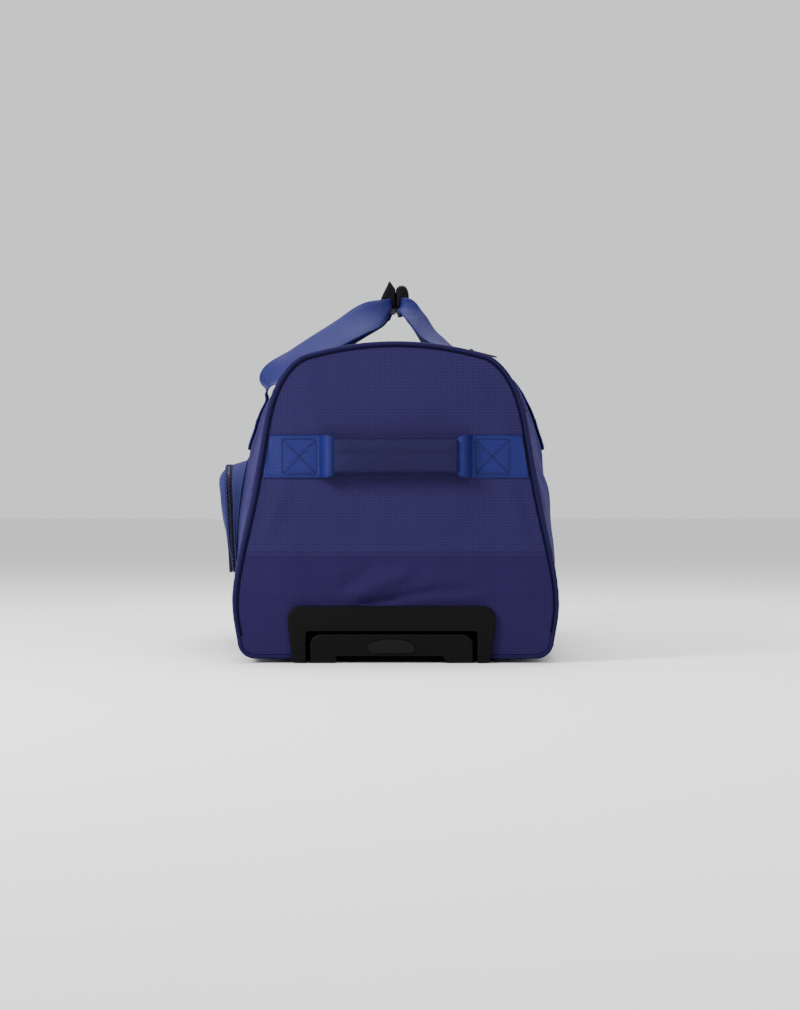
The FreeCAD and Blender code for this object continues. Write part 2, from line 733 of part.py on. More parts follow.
def grip_outline(y0, y1, shrink=0.0):
    """The pull grip's shape: a bar with a leg at each end and a finger notch between them."""
    foot = bezel_foot_z + shrink
    bar = rounded_plate(trolley_x - grip_half + shrink, trolley_x + grip_half - shrink, foot,
                        grip_top - shrink, grip_corner_r - shrink, y0, y1, True)
    half = notch_half + shrink
    notch = prism(
        [V(trolley_x - half, y0 - 1, -1), V(trolley_x - half, y0 - 1, notch_height + shrink),
         V(trolley_x + half - notch_slope, y0 - 1, notch_height + shrink), V(trolley_x + half, y0 - 1, -1)],
        V(0, y1 - y0 + 2, 0),
    )
    return bar.cut(notch)


def button_blank(y0, y1, grow):
    """The lens-shaped button, cut off level with the finger notch."""
    ellipse = Part.Ellipse(V(0, 0, 0), button_half + grow, button_rise + grow).toShape()
    face = Part.Face(Part.Wire([ellipse]))
    face.rotate(V(0, 0, 0), V(1, 0, 0), 90)
    face.translate(V(trolley_x, y0, button_z))
    lens = face.extrude(V(0, y1 - y0, 0))
    flat = notch_height + grip_wall + max(button_clear - grow, button_clear / 2)
    return lens.cut(box(-200, 200, y0 - 5, y1 + 5, -20, flat))


def make_grip():
    y_face = front_y - grip_proud
    y_split = y_face + grip_split
    y_back = y_face + grip_depth
    front = grip_outline(y_face, y_split)
    rim = [e for e in front.Edges if max(v.Y for v in e.Vertexes) < y_face + 1e-6
           and max(v.Z for v in e.Vertexes) > notch_height + 1.0]
    front = front.makeFillet(grip_rim_r, rim)
    front = front.cut(grip_outline(y_face + grip_wall, y_split + 1, grip_wall))
    front = front.cut(button_blank(y_face - 2, y_split, button_clear))
    back = grip_outline(y_split, y_back)
    hollow = grip_outline(y_split - 1, y_back - grip_wall, grip_wall)
    shrink = 2 * (tube_wall + tube_step)
    posts = []
    for s in (-1, 1):
        cx = trolley_x + s * tube_spread
        sleeve = tube_blank(cx, tube_width - 2 * (shrink - grip_sleeve),
                            tube_height - 2 * (shrink - grip_sleeve), grip_rim_r, y_split + tube_seat,
                            y_back - grip_wall)
        hollow = hollow.cut(sleeve)
        posts.append(cylinder(V(trolley_x + s * post_spread, (y_split + y_back) / 2, grip_top - post_drop),
                              V(0, 1, 0), screw_head_r, y_back - y_split))
    back = back.cut(hollow).fuse(posts)
    for s in (-1, 1):
        cx = trolley_x + s * tube_spread
        back = back.cut(tube_blank(cx, tube_width - 2 * shrink, tube_height - 2 * shrink,
                                   max(0.8, tube_corner_r - shrink), y_split + tube_seat, y_back + over_cut))
        back = back.cut(cylinder(posts[0].CenterOfMass + V((s + 1) * post_spread, 0, 0), V(0, 1, 0), screw_r,
                                 2 * grip_depth))
    save("grip_front_shell", solids_of(front))
    save("grip_back_shell", solids_of(back))
    screws = []
    for s in (-1, 1):
        centre = V(trolley_x + s * post_spread, 0, grip_top - post_drop)
        head = cylinder(centre + V(0, y_back + 0.6, 0), V(0, 1, 0), screw_head_r - 0.4, 1.2)
        shank = cylinder(centre + V(0, (y_split + y_back) / 2 + 0.5, 0), V(0, 1, 0), screw_r - 0.1,
                         y_back - y_split - 1.0)
        screws.append(head.fuse(shank).removeSplitter())
    save("grip_screws", *screws)
    make_button(y_face, y_split, y_back)


def make_button(y_face, y_split, y_back):
    """Push button, the rod frame behind it and its two return springs."""
    cap = button_blank(y_face - button_proud, y_face + grip_wall + button_lip, 0.0)
    edge = [e for e in cap.Edges if max(v.Y for v in e.Vertexes) < y_face - button_proud + 1e-6]
    cap = cap.makeFillet(button_edge_r, edge)
    y_bar = y_face + grip_wall + button_lip + flange_t
    flange = button_blank(y_face + grip_wall + button_lip, y_bar, flange_rim)
    save("release_button", cap.fuse(flange).removeSplitter())

    bar = box(trolley_x - tube_spread - rod_size / 2, trolley_x + tube_spread + rod_size / 2,
              y_bar, y_bar + rod_size, tube_z - rod_size / 2, tube_z + rod_size / 2)
    rods = [
        box(trolley_x + s * tube_spread - rod_size / 2, trolley_x + s * tube_spread + rod_size / 2,
            y_bar, y_bar + rod_length, tube_z - rod_size / 2, tube_z + rod_size / 2)
        for s in (-1, 1)
    ]
    save("lock_rods", bar.fuse(rods).removeSplitter())

    y_seat = y_bar + rod_size
    springs = []
    height = y_back - grip_wall - y_seat - 2 * spring_clear
    for s in (-1, 1):
        coil = Part.makeHelix((height - spring_wire) / spring_turns, height - spring_wire, spring_r)
        ring = Part.Wire(Part.makeCircle(spring_wire / 2, V(spring_r, 0, 0), V(0, 1, 0)))
        spring = Part.Wire(coil.Edges).makePipeShell([ring], True, True)
        spring.rotate(V(0, 0, 0), V(1, 0, 0), -90)
        spring.translate(V(trolley_x + s * spring_spread, y_seat + spring_wire / 2 + spring_clear, tube_z))
        springs.append(spring)
    save("button_springs", *springs)


# ---------------------------------------------------------------- base
def skid_rail_plan():
    """(x, length) of each skid rail."""
    return ((-rail_spread, rail_length), (0.0, centre_rail_length), (rail_spread, rail_length))


def rail_screw_spots():
    """Every skid rail has a screw near each end, and the outer ones have a third in the middle."""
    spots = []
    for x, length in skid_rail_plan():
        y = min(rail_screw_pitch, length / 2 - rail_end_margin)
        spots += [V(x, -y, 0), V(x, y, 0)]
        if x != 0.0:
            spots.append(V(x, 0, 0))
    return spots


def make_base():
    low = floor_gap + fabric_t
    y0 = front_y + recess_depth
    y1 = half_length - 2 * piping_r - fabric_t - 1.0
    board = box(-board_half, board_half, y0, y1, low, low + board_t)
    rails, screws = [], []
    for x, length in skid_rail_plan():
        rail = box(x - rail_width / 2, x + rail_width / 2, -length / 2, length / 2, 0, floor_gap)
        ends = [e for e in rail.Edges if abs(e.Vertexes[0].X - e.Vertexes[1].X) > 1e-6
                and max(v.Z for v in e.Vertexes) < 1e-6]
        rails.append(rail.makeChamfer(rail_chamfer, ends))
    sink = 2 * (screw_head_t + rail_screw_sink)
    for p in rail_screw_spots():
        drill = cylinder(p, V(0, 0, 1), screw_r, 2 * (low + board_t))
        seat = cylinder(p, V(0, 0, 1), screw_head_r + head_clear, sink)
        rails = [rail.cut([drill, seat]) for rail in rails]
        board = board.cut(drill)
        head = cylinder(p + V(0, 0, rail_screw_sink + screw_head_t / 2), V(0, 0, 1),
                        screw_head_r, screw_head_t)
        shank = cylinder(p + V(0, 0, (rail_screw_sink + low + board_t) / 2), V(0, 0, 1),
                         screw_r - screw_clear, low + board_t - rail_screw_sink)
        screws.append(head.fuse(shank).removeSplitter())
    for p in rear_screw_spots():
        board = board.cut(cylinder(p, V(0, 0, 1), screw_r, 2 * (low + board_t)))
    save("base_board", board)
    save("skid_rails", *[solids_of(rail) for rail in rails])
    save("rail_screws", *screws)


# ---------------------------------------------------------------- wheels
def wheel_centre():
    return V(wheel_x, half_length + wheel_overhang - wheel_r, wheel_r)


def wheel_housing_envelope(inset):
    """Outer form of the right wheel housing, with round upper inner edges."""
    c = wheel_centre()
    side = wheel_width / 2 + housing_gap + cheek_t - inset
    y0 = c.y - wheel_r - housing_gap - cheek_t + inset
    y1 = half_length + 1.0
    block = box(c.x - side, c.x + side, y0, y1, floor_gap + 1.0, housing_top - inset)
    edges = [e for e in block.Edges if abs(e.Vertexes[0].X - e.Vertexes[1].X) > 1e-6
             and min(v.Z for v in e.Vertexes) > housing_top - inset - 1e-6
             and max(v.Y for v in e.Vertexes) < y0 + 1e-6]
    return block.makeFillet(housing_corner_r, edges)


def wheel_housing_cut():
    """What the right wheel housing takes out of the fabric, down past the floor."""
    c = wheel_centre()
    side = wheel_width / 2 + housing_gap + cheek_t
    y0 = c.y - wheel_r - housing_gap - cheek_t
    return wheel_housing_envelope(0.0).fuse(
        box(c.x - side, c.x + side, y0, half_length + 10.0, -1, housing_top / 2)
    )


def make_wheels():
    c = wheel_centre()
    x_axis = V(1, 0, 0)
    cheek_span = wheel_width + 2 * (housing_gap + cheek_t)
    housing = wheel_housing_envelope(0.0)
    well_r = wheel_r + housing_gap
    well = cylinder(c, x_axis, well_r, wheel_width + 2 * housing_gap)
    mouth = box(c.x - wheel_width / 2 - housing_gap, c.x + wheel_width / 2 + housing_gap,
                c.y, half_length + 30, -1, c.z + well_r)
    floor_mouth = box(c.x - wheel_width / 2 - housing_gap, c.x + wheel_width / 2 + housing_gap,
                      c.y - well_r, half_length + 30, -1, c.z)
    housing = housing.cut([well, mouth, floor_mouth])
    housing = housing.cut(cylinder(c, x_axis, axle_r, cheek_span + 4))
    tyre = cylinder(c, x_axis, wheel_r, wheel_width)
    rims = [e for e in tyre.Edges if len(e.Vertexes) == 1 and e.Length > 2 * math.pi * wheel_r - 1]
    tyre = tyre.makeFillet(tyre_edge_r, rims)
    tyre = tyre.cut(cylinder(c, x_axis, hub_r, wheel_width + 2))
    boss_r = axle_r + boss_wall
    hub = cylinder(c, x_axis, hub_r, wheel_width - 2.0)
    for s in (-1, 1):
        dish = cylinder(c + x_axis * (s * (wheel_width / 2 - hub_dish)), x_axis, hub_r - hub_rim,
                        2 * hub_dish)
        hub = hub.cut(dish)
    hub = hub.fuse(cylinder(c, x_axis, boss_r, wheel_width + 2 * (housing_gap - boss_clear)))
    hub = hub.cut(cylinder(c, x_axis, axle_r + axle_clear, cheek_span)).removeSplitter()
    axle = cylinder(c, x_axis, axle_r, cheek_span)
    for s in (-1, 1):
        axle = axle.fuse(cylinder(c + x_axis * (s * (cheek_span / 2 + axle_head_t / 2)), x_axis,
                                  axle_head_r, axle_head_t))
    axle = axle.removeSplitter()
    save("wheel_axles", mirror_x(axle), axle)
    for name, flip in (("left", True), ("right", False)):
        pieces = {"wheel_housing": housing, "wheel_tyre": tyre, "wheel_hub": hub}
        for part, shape in pieces.items():
            save(name + "_" + part, mirror_x(shape) if flip else shape)


# ---------------------------------------------------------------- grab handles
def make_grab_handles():
    for side, name in ((-1, "front"), (1, "rear")):
        y_panel = side * (half_length - 1.0)
        y_out = y_panel + side * band_t
        low, high = band_z - band_width / 2, band_z + band_width / 2
        y_lo, y_hi = sorted((y_panel, y_out))
        slab = box(stitch_half, 300, y_lo, y_hi, low, high)
        window = end_plate(y_lo - 1, y_hi + 1, 2 * piping_r + 0.6)
        band = slab.common(window)
        save(name + "_grab_band", band, mirror_x(band))

        # the webbing rises off the panel, rolls over and runs into the grip's end
        y_mid = y_panel + side * (grab_stand + grab_t / 2)
        start, end = stitch_half - 0.1, grab_half + 0.1
        knee = (start + end) / 2
        loop = prism(
            [V(start, y_panel + side * 0.1, low), V(start, y_out, low), V(knee + 4, y_mid + side * 3, low),
             V(end, y_mid + side * 3, low), V(end, y_mid + side * 0.6, low),
             V(knee + 1, y_mid + side * 0.6, low),
             V(start - band_t * 2, y_panel + side * 0.1, low)],
            V(0, 0, band_width),
        )
        save(name + "_grab_loops", loop, mirror_x(loop))

        z0, z1 = band_z - grab_height / 2, band_z + grab_height / 2
        y_near, y_far = sorted((y_panel + side * grab_stand, y_panel + side * (grab_stand + grab_t)))
        pad = box(-grab_half, grab_half, y_near, y_far, z0, z1)
        long_edges = [e for e in pad.Edges if abs(e.Vertexes[0].X - e.Vertexes[1].X) > 1e-6]
        save(name + "_grab_grip", pad.makeFillet(grab_t / 2 - 0.6, long_edges))


# ---------------------------------------------------------------- side pocket
def pocket_profile(shrink):
    """Section of the pocket in XZ as a face at y 0: wedge, deepest near its round top."""
    out, top = -(pocket_out - shrink), pocket_top - shrink
    low_out = -(pocket_low_out - shrink)
    inner = -150.0
    lip = pocket_lip_r - shrink
    start = V(out + 1.2, 0, pocket_full_z)
    arc = Part.Arc(start, V(out + lip * 0.32, 0, top - lip * 0.32), V(out + lip, 0, top))
    edges = [
        Part.LineSegment(V(low_out, 0, pocket_bottom), start).toShape(),
        arc.toShape(),
        Part.LineSegment(V(out + lip, 0, top), V(inner, 0, top)).toShape(),
        Part.LineSegment(V(inner, 0, top), V(inner, 0, pocket_bottom)).toShape(),
        Part.LineSegment(V(inner, 0, pocket_bottom), V(low_out, 0, pocket_bottom)).toShape(),
    ]
    return Part.Face(Part.Wire(edges))


def pocket_solid(shrink):
    half = pocket_half - shrink
    face = pocket_profile(shrink)
    face.translate(V(0, -half, 0))
    column = face.extrude(V(0, 2 * half, 0))
    frame = box(-300, -100, -half, half, pocket_bottom - 10, pocket_top - shrink)
    corners = [e for e in frame.Edges if abs(e.Vertexes[0].X - e.Vertexes[1].X) > 1e-6
               and min(v.Z for v in e.Vertexes) > pocket_top - shrink - 1e-6]
    frame = frame.makeFillet(pocket_corner_r - shrink, corners)
    return column.common(frame)


def pocket_zip_plane():
    """A point on the zip's plane, the direction up along it and its outward normal."""
    low = V(-pocket_zip_low, 0, pocket_bottom)
    up = V(-pocket_zip_high, 0, pocket_zip_high_z) - low
    up.normalize()
    return low, up, V(-up.z, 0, up.x)


def beyond_zip(distance):
    """Everything on the outer side of the zip's plane moved outwards by distance."""
    low, up, out = pocket_zip_plane()
    a = low - up * 100 + out * distance
    b = low + up * 300 + out * distance
    start = V(0, -half_length, 0)
    far = out * pocket_out
    return prism([a + start, b + start, b + far + start, a + far + start], V(0, bag_length, 0))


def make_pocket(body):
    shell = pocket_solid(0.0).cut(pocket_solid(pocket_t)).cut(body)
    layer = pocket_solid(zip_inset).cut(pocket_solid(zip_inset + 1.0)).cut(body)
    above = box(-wide, 0, -bag_length, bag_length, pocket_hinge_z + hinge_gap, high)
    below = box(-wide, 0, -bag_length, bag_length, 0, pocket_hinge_z - hinge_gap)
    # between its zip's two lower ends the pocket's face is sewn to its floor
    sewn = box(-wide, 0, pocket_stitch - pocket_half, pocket_half - pocket_stitch, 0,
               pocket_hinge_z - hinge_gap)
    face = shell.common(beyond_zip(zip_half))
    gusset = shell.cut(beyond_zip(-zip_half)).fuse([shell.common(sewn), face.common(below)])
    door = face.common(above).cut(body_loft(-seat_clear))
    body_row = layer.cut(beyond_zip(-zip_gap)).common(beyond_zip(-zip_half)).cut(sewn)
    outer_row = layer.common(beyond_zip(zip_gap)).cut(beyond_zip(zip_half))
    inside = box(-wide, 0, pocket_t - pocket_half, pocket_half - pocket_t, 0, high)
    lower_row = outer_row.common(below).cut(inside)
    door_row = outer_row.common(above)
    save("pocket_gusset", solids_of(gusset.removeSplitter()))
    save("pocket_door", solids_of(door))
    save("pocket_gusset_zip_row", solids_of(body_row), solids_of(lower_row))
    save("pocket_door_zip_row", solids_of(door_row))

    low, up, out = pocket_zip_plane()
    lift = (pocket_slider_z - pocket_bottom) / up.z
    origin = low + up * lift + V(0, pocket_half, 0)
    save("pocket_zip_slider", placed(local_slider(), origin, up, V(0, 1, 0)))
    save("pocket_zip_pull", placed(local_pull(), origin, up * -1, V(0, 1, 0)))


# ---------------------------------------------------------------- carry handles
def make_carry_anchors():
    """Doubled webbing patches sewn on the sides, where the carry handles start."""
    skin = body_loft(-patch_t).cut(body_loft(-0.05))
    half = strap_width / 2 + 1.0
    patches = [
        skin.common(box(x0, x0 + 240, y - half, y + half, patch_low, patch_top))
        for x0 in (-300, 60) for y in (-strap_y, strap_y)
    ]
    save("strap_patches", *patches)


def strap_stations(side, way, turns, gather):
    """Stations of half a strap: its upright foot, then its way up to the middle of the wrap."""
    foot = patch_top + seat_clear
    along = V(0, 1, 0)
    stations = [
        (V(side * strap_x, -strap_y, foot + lift), along, strap_width, strap_t) for lift in (0.0, 5.0)
    ]
    for (x, y, z), (flat, upright), (share, layers) in zip(way, turns, gather):
        stations.append((V(side * x, -y, z), V(0, flat, upright), strap_width * share, strap_t * layers))
    stations.append((V(stations[-1][0].x, 0, stations[-1][0].z),) + stations[-1][1:])
    return stations


def make_carry_handles():
    """Each strap rises from its two patches and swings about the outer edge of its lower ends."""
    left = strap_stations(-1, left_strap_way, left_strap_turns, left_strap_gather)
    right = strap_stations(1, right_strap_way, right_strap_turns, right_strap_gather)
    save("left_carry_strap", ribbon(handle_stations(left)))
    save("right_carry_strap", ribbon(handle_stations(right)))
    make_grip_wrap("left_grip_wrap", left_wrap_form, left[-1])
    make_grip_wrap("right_grip_wrap", right_wrap_form, right[-1])


def make_grip_wrap(name, form, station):
    """One half of the padded wrap: a sleeve round the gathered webbing of its own strap."""
    centre, _, width, thick = station
    reach = V(0, 2 * wrap_half, 0)
    sleeve = prism([V(x, -wrap_half, z) for x, z in form], reach)
    half_t, half_w = thick / 2 + seat_clear, width / 2 + seat_clear
    slot = box(centre.x - half_t, centre.x + half_t, -bag_length, bag_length,
               centre.z - half_w, centre.z + half_w)
    save(name, sleeve.cut(slot))


def main():
    os.makedirs(PARTS, exist_ok=True)
    body = make_body_panels()
    make_end_panels()
    make_piping()
    make_main_sliders()
    make_bezel()
    make_frame_screws()
    make_front_bracket()
    make_tubes()
    make_grip()
    make_base()
    make_wheels()
    make_grab_handles()
    make_pocket(body)
    make_carry_anchors()
    make_carry_handles()


main()
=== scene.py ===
import json
import math

import bmesh
import bpy
import numpy as np
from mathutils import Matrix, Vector, noise
from mathutils.bvhtree import BVHTree


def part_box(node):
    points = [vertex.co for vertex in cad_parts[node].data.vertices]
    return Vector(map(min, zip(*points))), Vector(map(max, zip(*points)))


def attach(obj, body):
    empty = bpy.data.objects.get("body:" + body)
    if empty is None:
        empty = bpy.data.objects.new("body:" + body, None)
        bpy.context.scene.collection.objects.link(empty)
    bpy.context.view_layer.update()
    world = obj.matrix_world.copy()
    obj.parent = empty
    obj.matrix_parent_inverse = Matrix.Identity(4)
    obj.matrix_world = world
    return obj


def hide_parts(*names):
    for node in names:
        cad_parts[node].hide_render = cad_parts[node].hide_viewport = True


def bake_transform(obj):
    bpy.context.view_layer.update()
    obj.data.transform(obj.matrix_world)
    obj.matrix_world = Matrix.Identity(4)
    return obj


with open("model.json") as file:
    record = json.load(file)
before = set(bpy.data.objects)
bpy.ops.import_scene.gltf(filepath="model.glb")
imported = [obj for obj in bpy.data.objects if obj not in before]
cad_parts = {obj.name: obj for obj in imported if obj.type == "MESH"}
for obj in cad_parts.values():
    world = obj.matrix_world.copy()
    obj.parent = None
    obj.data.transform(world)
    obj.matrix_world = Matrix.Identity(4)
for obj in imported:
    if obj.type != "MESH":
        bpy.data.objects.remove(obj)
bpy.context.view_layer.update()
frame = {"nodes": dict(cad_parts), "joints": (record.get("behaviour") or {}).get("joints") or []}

bl_info = {
    "name": "Wheeled Gear Bag",
    "version": (1, 0, 0),
    "blender": (4, 5, 0),
    "location": "View3D > Sidebar > Gear Bag",
    "description": "Dresses the packed frame of a wheeled hockey bag: cloth, webbing, zips and mouldings",
    "category": "Object",
}


# ------------------------------------------------------------------ places read from the frame
def joint(name):
    """The frame's entry for a joint."""
    return next(j for j in frame["joints"] if j["name"] == name)


TOP_ARC_Z = joint("front_zip_travel")["pos_m"][2]         # centre of the curve across the top
TOP_ARC_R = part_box("main_flap")[1].z - TOP_ARC_Z
ZIP_Y = abs(joint("front_zip_travel")["pos_m"][1])        # the zip's two end runs
HINGE_X = joint("main_flap_hinge")["pos_m"][0]
PANEL_Y = abs(joint("front_grab_swing")["pos_m"][1])      # outer face of the end panels
BAND_Z = joint("front_grab_swing")["pos_m"][2]
ZIP_SIDE_X = -(HINGE_X + 0.002)                           # the zip's long run, across from the hinge
ZIP_CORNER_R = 0.037
ZIP_TAIL_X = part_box("body_zip_row")[1].x
SHELL_NODES = ("bottom_panel", "left_side_panel", "right_side_panel", "front_top_panel",
               "rear_top_panel", "main_flap")
SEAM_Z = 0.127                   # the seam across the front panel, carried on round the sides
SEWN_Y = 0.4134                  # where the sides are sewn to the end panels
CENTRE_Z = 0.19                  # middle of the bag's height
FOOT_Y = 0.150                   # middle of each sewn foot of the carry straps
POCKET_HALF, POCKET_LOW, POCKET_TOP, POCKET_R = 0.170, 0.100, 0.246, 0.045
OUTSIDE_X, OUTSIDE_Y = 0.4, 0.5  # where rays towards the bag start
UP = np.array((0.0, 0.0, 1.0))


# ------------------------------------------------------------------ settings a user would change
def colour(hex_code):
    """Linear RGB from an sRGB hex code."""
    out = []
    for i in (1, 3, 5):
        c = int(hex_code[i:i + 2], 16) / 255
        out.append(c / 12.92 if c <= 0.04045 else ((c + 0.055) / 1.055) ** 2.4)
    return out


def colour_setting(name, description, hex_code):
    return bpy.props.FloatVectorProperty(
        name=name, description=description, subtype="COLOR", size=3, min=0, max=1, default=colour(hex_code)
    )


def length_setting(name, description, default):
    return bpy.props.FloatProperty(name=name, description=description, unit="LENGTH", default=default, min=0)


class BagSizes(bpy.types.PropertyGroup):
    crown: length_setting("Crown", "How far an end panel bellies out at its middle", 0.0055)
    ripple: length_setting("Ripple", "Depth of the soft ripples in the fabric", 0.0022)
    sag: length_setting("Sag", "Depth of the slack folds along the sides", 0.0065)
    tuck: length_setting("Tuck", "How far the sides are drawn in behind the straps' feet", 0.0015)
    fabric: length_setting("Fabric", "Thickness of the fabric with its lining", 0.0025)
    webbing: length_setting("Webbing", "Thickness of the webbing", 0.0022)
    piping: length_setting("Piping", "Radius of the piping cord", 0.0028)
    ripstop: length_setting("Ripstop pitch", "Spacing of the ripstop's heavy threads", 0.0037)
    tooth: length_setting("Tooth pitch", "Spacing of the zip teeth, drawn coarser so that they show", 0.0028)
    stitch: length_setting("Stitch", "Length of one stitch", 0.0034)


class BagColours(bpy.types.PropertyGroup):
    shell: colour_setting("Shell", "Violet blue ripstop of the end panels and the sides", "#1e193a")
    lower: colour_setting("Lower panel", "Ripstop below the seam", "#1b1436")
    piping: colour_setting("Piping", "Cord round the end panels", "#171138")
    # the binding's near-black is partly painted shade of the seam between the piping and the panel
    binding_seam_shade: colour_setting("Binding", "Nearly black binding along the inside of the piping", "#09081f")
    webbing: colour_setting("Webbing", "Royal blue webbing", "#121553")
    thread: colour_setting("Thread", "Sewing thread", "#0b0d2c")
    grip: colour_setting("Grip", "Padded cover of the grab grips", "#120d31")
    wrap: colour_setting("Wrap", "Black padded handle wrap", "#08060a")
    pocket: colour_setting("Pocket", "Fabric of the pocket", "#272950")
    zip: colour_setting("Zip", "Zip coil and tape", "#120f22")
    moulding: colour_setting("Moulding", "Black moulded plastic", "#080808")
    lining: colour_setting("Lining", "Inside of the bag", "#15161f")


def sizes():
    """The sizes set in the panel."""
    return bpy.context.scene.bag_sizes


def colours():
    """The colours set in the panel."""
    return bpy.context.scene.bag_colours


# ------------------------------------------------------------------ mesh helpers
def linked(name, data):
    """A new object in the scene."""
    obj = bpy.data.objects.new(name, data)
    bpy.context.scene.collection.objects.link(obj)
    return obj


def mesh_object(name, verts, faces, materials, uvs=None, smooth=True):
    """A new object in the named materials; uvs holds one (u, v) in metres for each vertex."""
    mesh = bpy.data.meshes.new(name)
    mesh.from_pydata([tuple(v) for v in verts], [], faces)
    if uvs is not None:
        layer = mesh.uv_layers.new(name="cloth")
        at = np.empty(len(mesh.loops), int)
        mesh.loops.foreach_get("vertex_index", at)
        layer.data.foreach_set("uv", np.asarray(uvs, float)[at].ravel())
    for material in materials:
        mesh.materials.append(MATERIALS[material])
    if smooth:
        mesh.shade_smooth()
    return linked(name, mesh)


def grid_faces(rows, columns, wrap=False):
    """Quads over a grid stored row by row; wrap joins the last column to the first."""
    faces = []
    for i in range(rows - 1):
        for j in range(columns if wrap else columns - 1):
            k = (j + 1) % columns
            faces.append((i * columns + j, i * columns + k, (i + 1) * columns + k, (i + 1) * columns + j))
    return faces


def capped_faces(rows, columns):
    """Quads round a row of sections, with a cap on each end."""
    last = (rows - 1) * columns
    caps = [tuple(range(columns)), tuple(last + j for j in reversed(range(columns)))]
    return grid_faces(rows, columns, wrap=True) + caps


def renumbered(faces):
    """The points that the faces use, in order, and the faces in the numbers of that list."""
    used = sorted({i for f in faces for i in f})
    new = {i: k for k, i in enumerate(used)}
    return used, [tuple(new[i] for i in f) for f in faces]


def thicken(obj, thickness, inner=None):
    """Gives a sheet its thickness inwards; inner is the material slot of its back."""
    solid = obj.modifiers.new("thickness", "SOLIDIFY")
    solid.thickness = thickness
    solid.offset = -1
    if inner is not None:
        solid.material_offset = inner
        solid.material_offset_rim = 0


def bevel(obj, width, segments=2):
    """Rounds the sharp edges of a mesh."""
    edge = obj.modifiers.new("edge", "BEVEL")
    edge.width = width
    edge.segments = segments
    edge.limit_method = "ANGLE"
    edge.angle_limit = math.radians(40)


class Skin:
    """The outer surface of some meshes, for finding points on it."""

    def __init__(self, *objects):
        verts, polys = [], []
        for obj in objects:
            base = len(verts)
            verts += [v.co.copy() for v in obj.data.vertices]
            polys += [[base + i for i in p.vertices] for p in obj.data.polygons]
        self.tree = BVHTree.FromPolygons(verts, polys)

    def hit(self, start, towards):
        """Where a ray from start towards a point first meets the surface, and the way out there."""
        ray = (Vector(towards) - Vector(start)).normalized()
        place, normal, _, _ = self.tree.ray_cast(Vector(start), ray)
        if place is None:
            return None, None
        return place, (normal if normal.dot(ray) < 0 else -normal)


def nodes_skin(*names):
    """The surface of some of the frame's nodes."""
    return Skin(*[frame["nodes"][n] for n in names])


def ring_at(skin, y):
    """The closed outline (x, z) of a form at y, from its lowest middle round by the right, gaps bridged."""
    count = 720                      # two rays to a degree
    reach = 0.45                     # they start this far from the middle
    points = []
    centre = Vector((0, y, CENTRE_Z))
    for i in range(count):
        a = 2 * math.pi * i / count
        way = Vector((math.sin(a), 0, -math.cos(a)))
        place, _ = skin.hit(centre + way * reach, centre)
        far = place is not None and (place - centre).dot(way) > 0.1
        points.append((place.x, place.z) if far else None)
    known = [i for i, p in enumerate(points) if p is not None]
    ring = np.empty((count, 2))
    for k in range(2):
        ring[:, k] = np.interp(np.arange(count), known, [points[i][k] for i in known], period=count)
    return ring


def distances(line):
    """The length run along a line at each of its points."""
    return np.concatenate([[0], np.cumsum(np.linalg.norm(np.diff(line, axis=0), axis=1))])


def walk(line, count, closed=False):
    """The polyline resampled at equal steps."""
    line = np.asarray(line, float)
    if closed:
        line = np.vstack([line, line[:1]])
    run = distances(line)
    at = np.linspace(0, run[-1], count + 1 if closed else count)
    out = np.stack([np.interp(at, run, line[:, k]) for k in range(line.shape[1])], axis=1)
    return out[:-1] if closed else out


def smooth_curve(points, count):
    """A Catmull-Rom curve through the points, at equal shares of each stretch."""
    points = np.asarray(points, float)
    ends = np.vstack([2 * points[0] - points[1], points, 2 * points[-1] - points[-2]])
    out = []
    spans = len(points) - 1
    for t in np.linspace(0, spans, count):
        i = min(int(t), spans - 1)
        f = t - i
        a, b, c, d = ends[i:i + 4]
        out.append(0.5 * (2 * b + (c - a) * f + (2 * a - 5 * b + 4 * c - d) * f * f
                          + (3 * b - a - 3 * c + d) * f ** 3))
    return np.array(out)


def tube(name, path, radius, material, sides, closed=False):
    """A round cord along a path, capped unless closed."""
    path = [Vector(p) for p in path]
    count = len(path)
    verts, uvs = [], []
    run = 0.0
    up = Vector((0, 1, 0))
    for i, p in enumerate(path):
        before = path[i - 1] if i or closed else p
        after = path[(i + 1) % count] if i < count - 1 or closed else p
        ahead = (after - before).normalized()
        side = ahead.cross(up)
        if side.length < 0.2:
            side = ahead.cross(Vector((0, 0, 1)))
        side.normalize()
        over = side.cross(ahead)
        run += (p - path[i - 1]).length if i else 0
        for k in range(sides):
            a = 2 * math.pi * k / sides
            verts.append(p + side * (radius * math.cos(a)) + over * (radius * math.sin(a)))
            uvs.append((run, radius * a))
    if closed:
        last = (count - 1) * sides
        faces = grid_faces(count, sides, wrap=True)
        faces += [(last + k, last + (k + 1) % sides, (k + 1) % sides, k) for k in range(sides)]
    else:
        faces = capped_faces(count, sides)
    return mesh_object(name, verts, faces, [material], uvs)


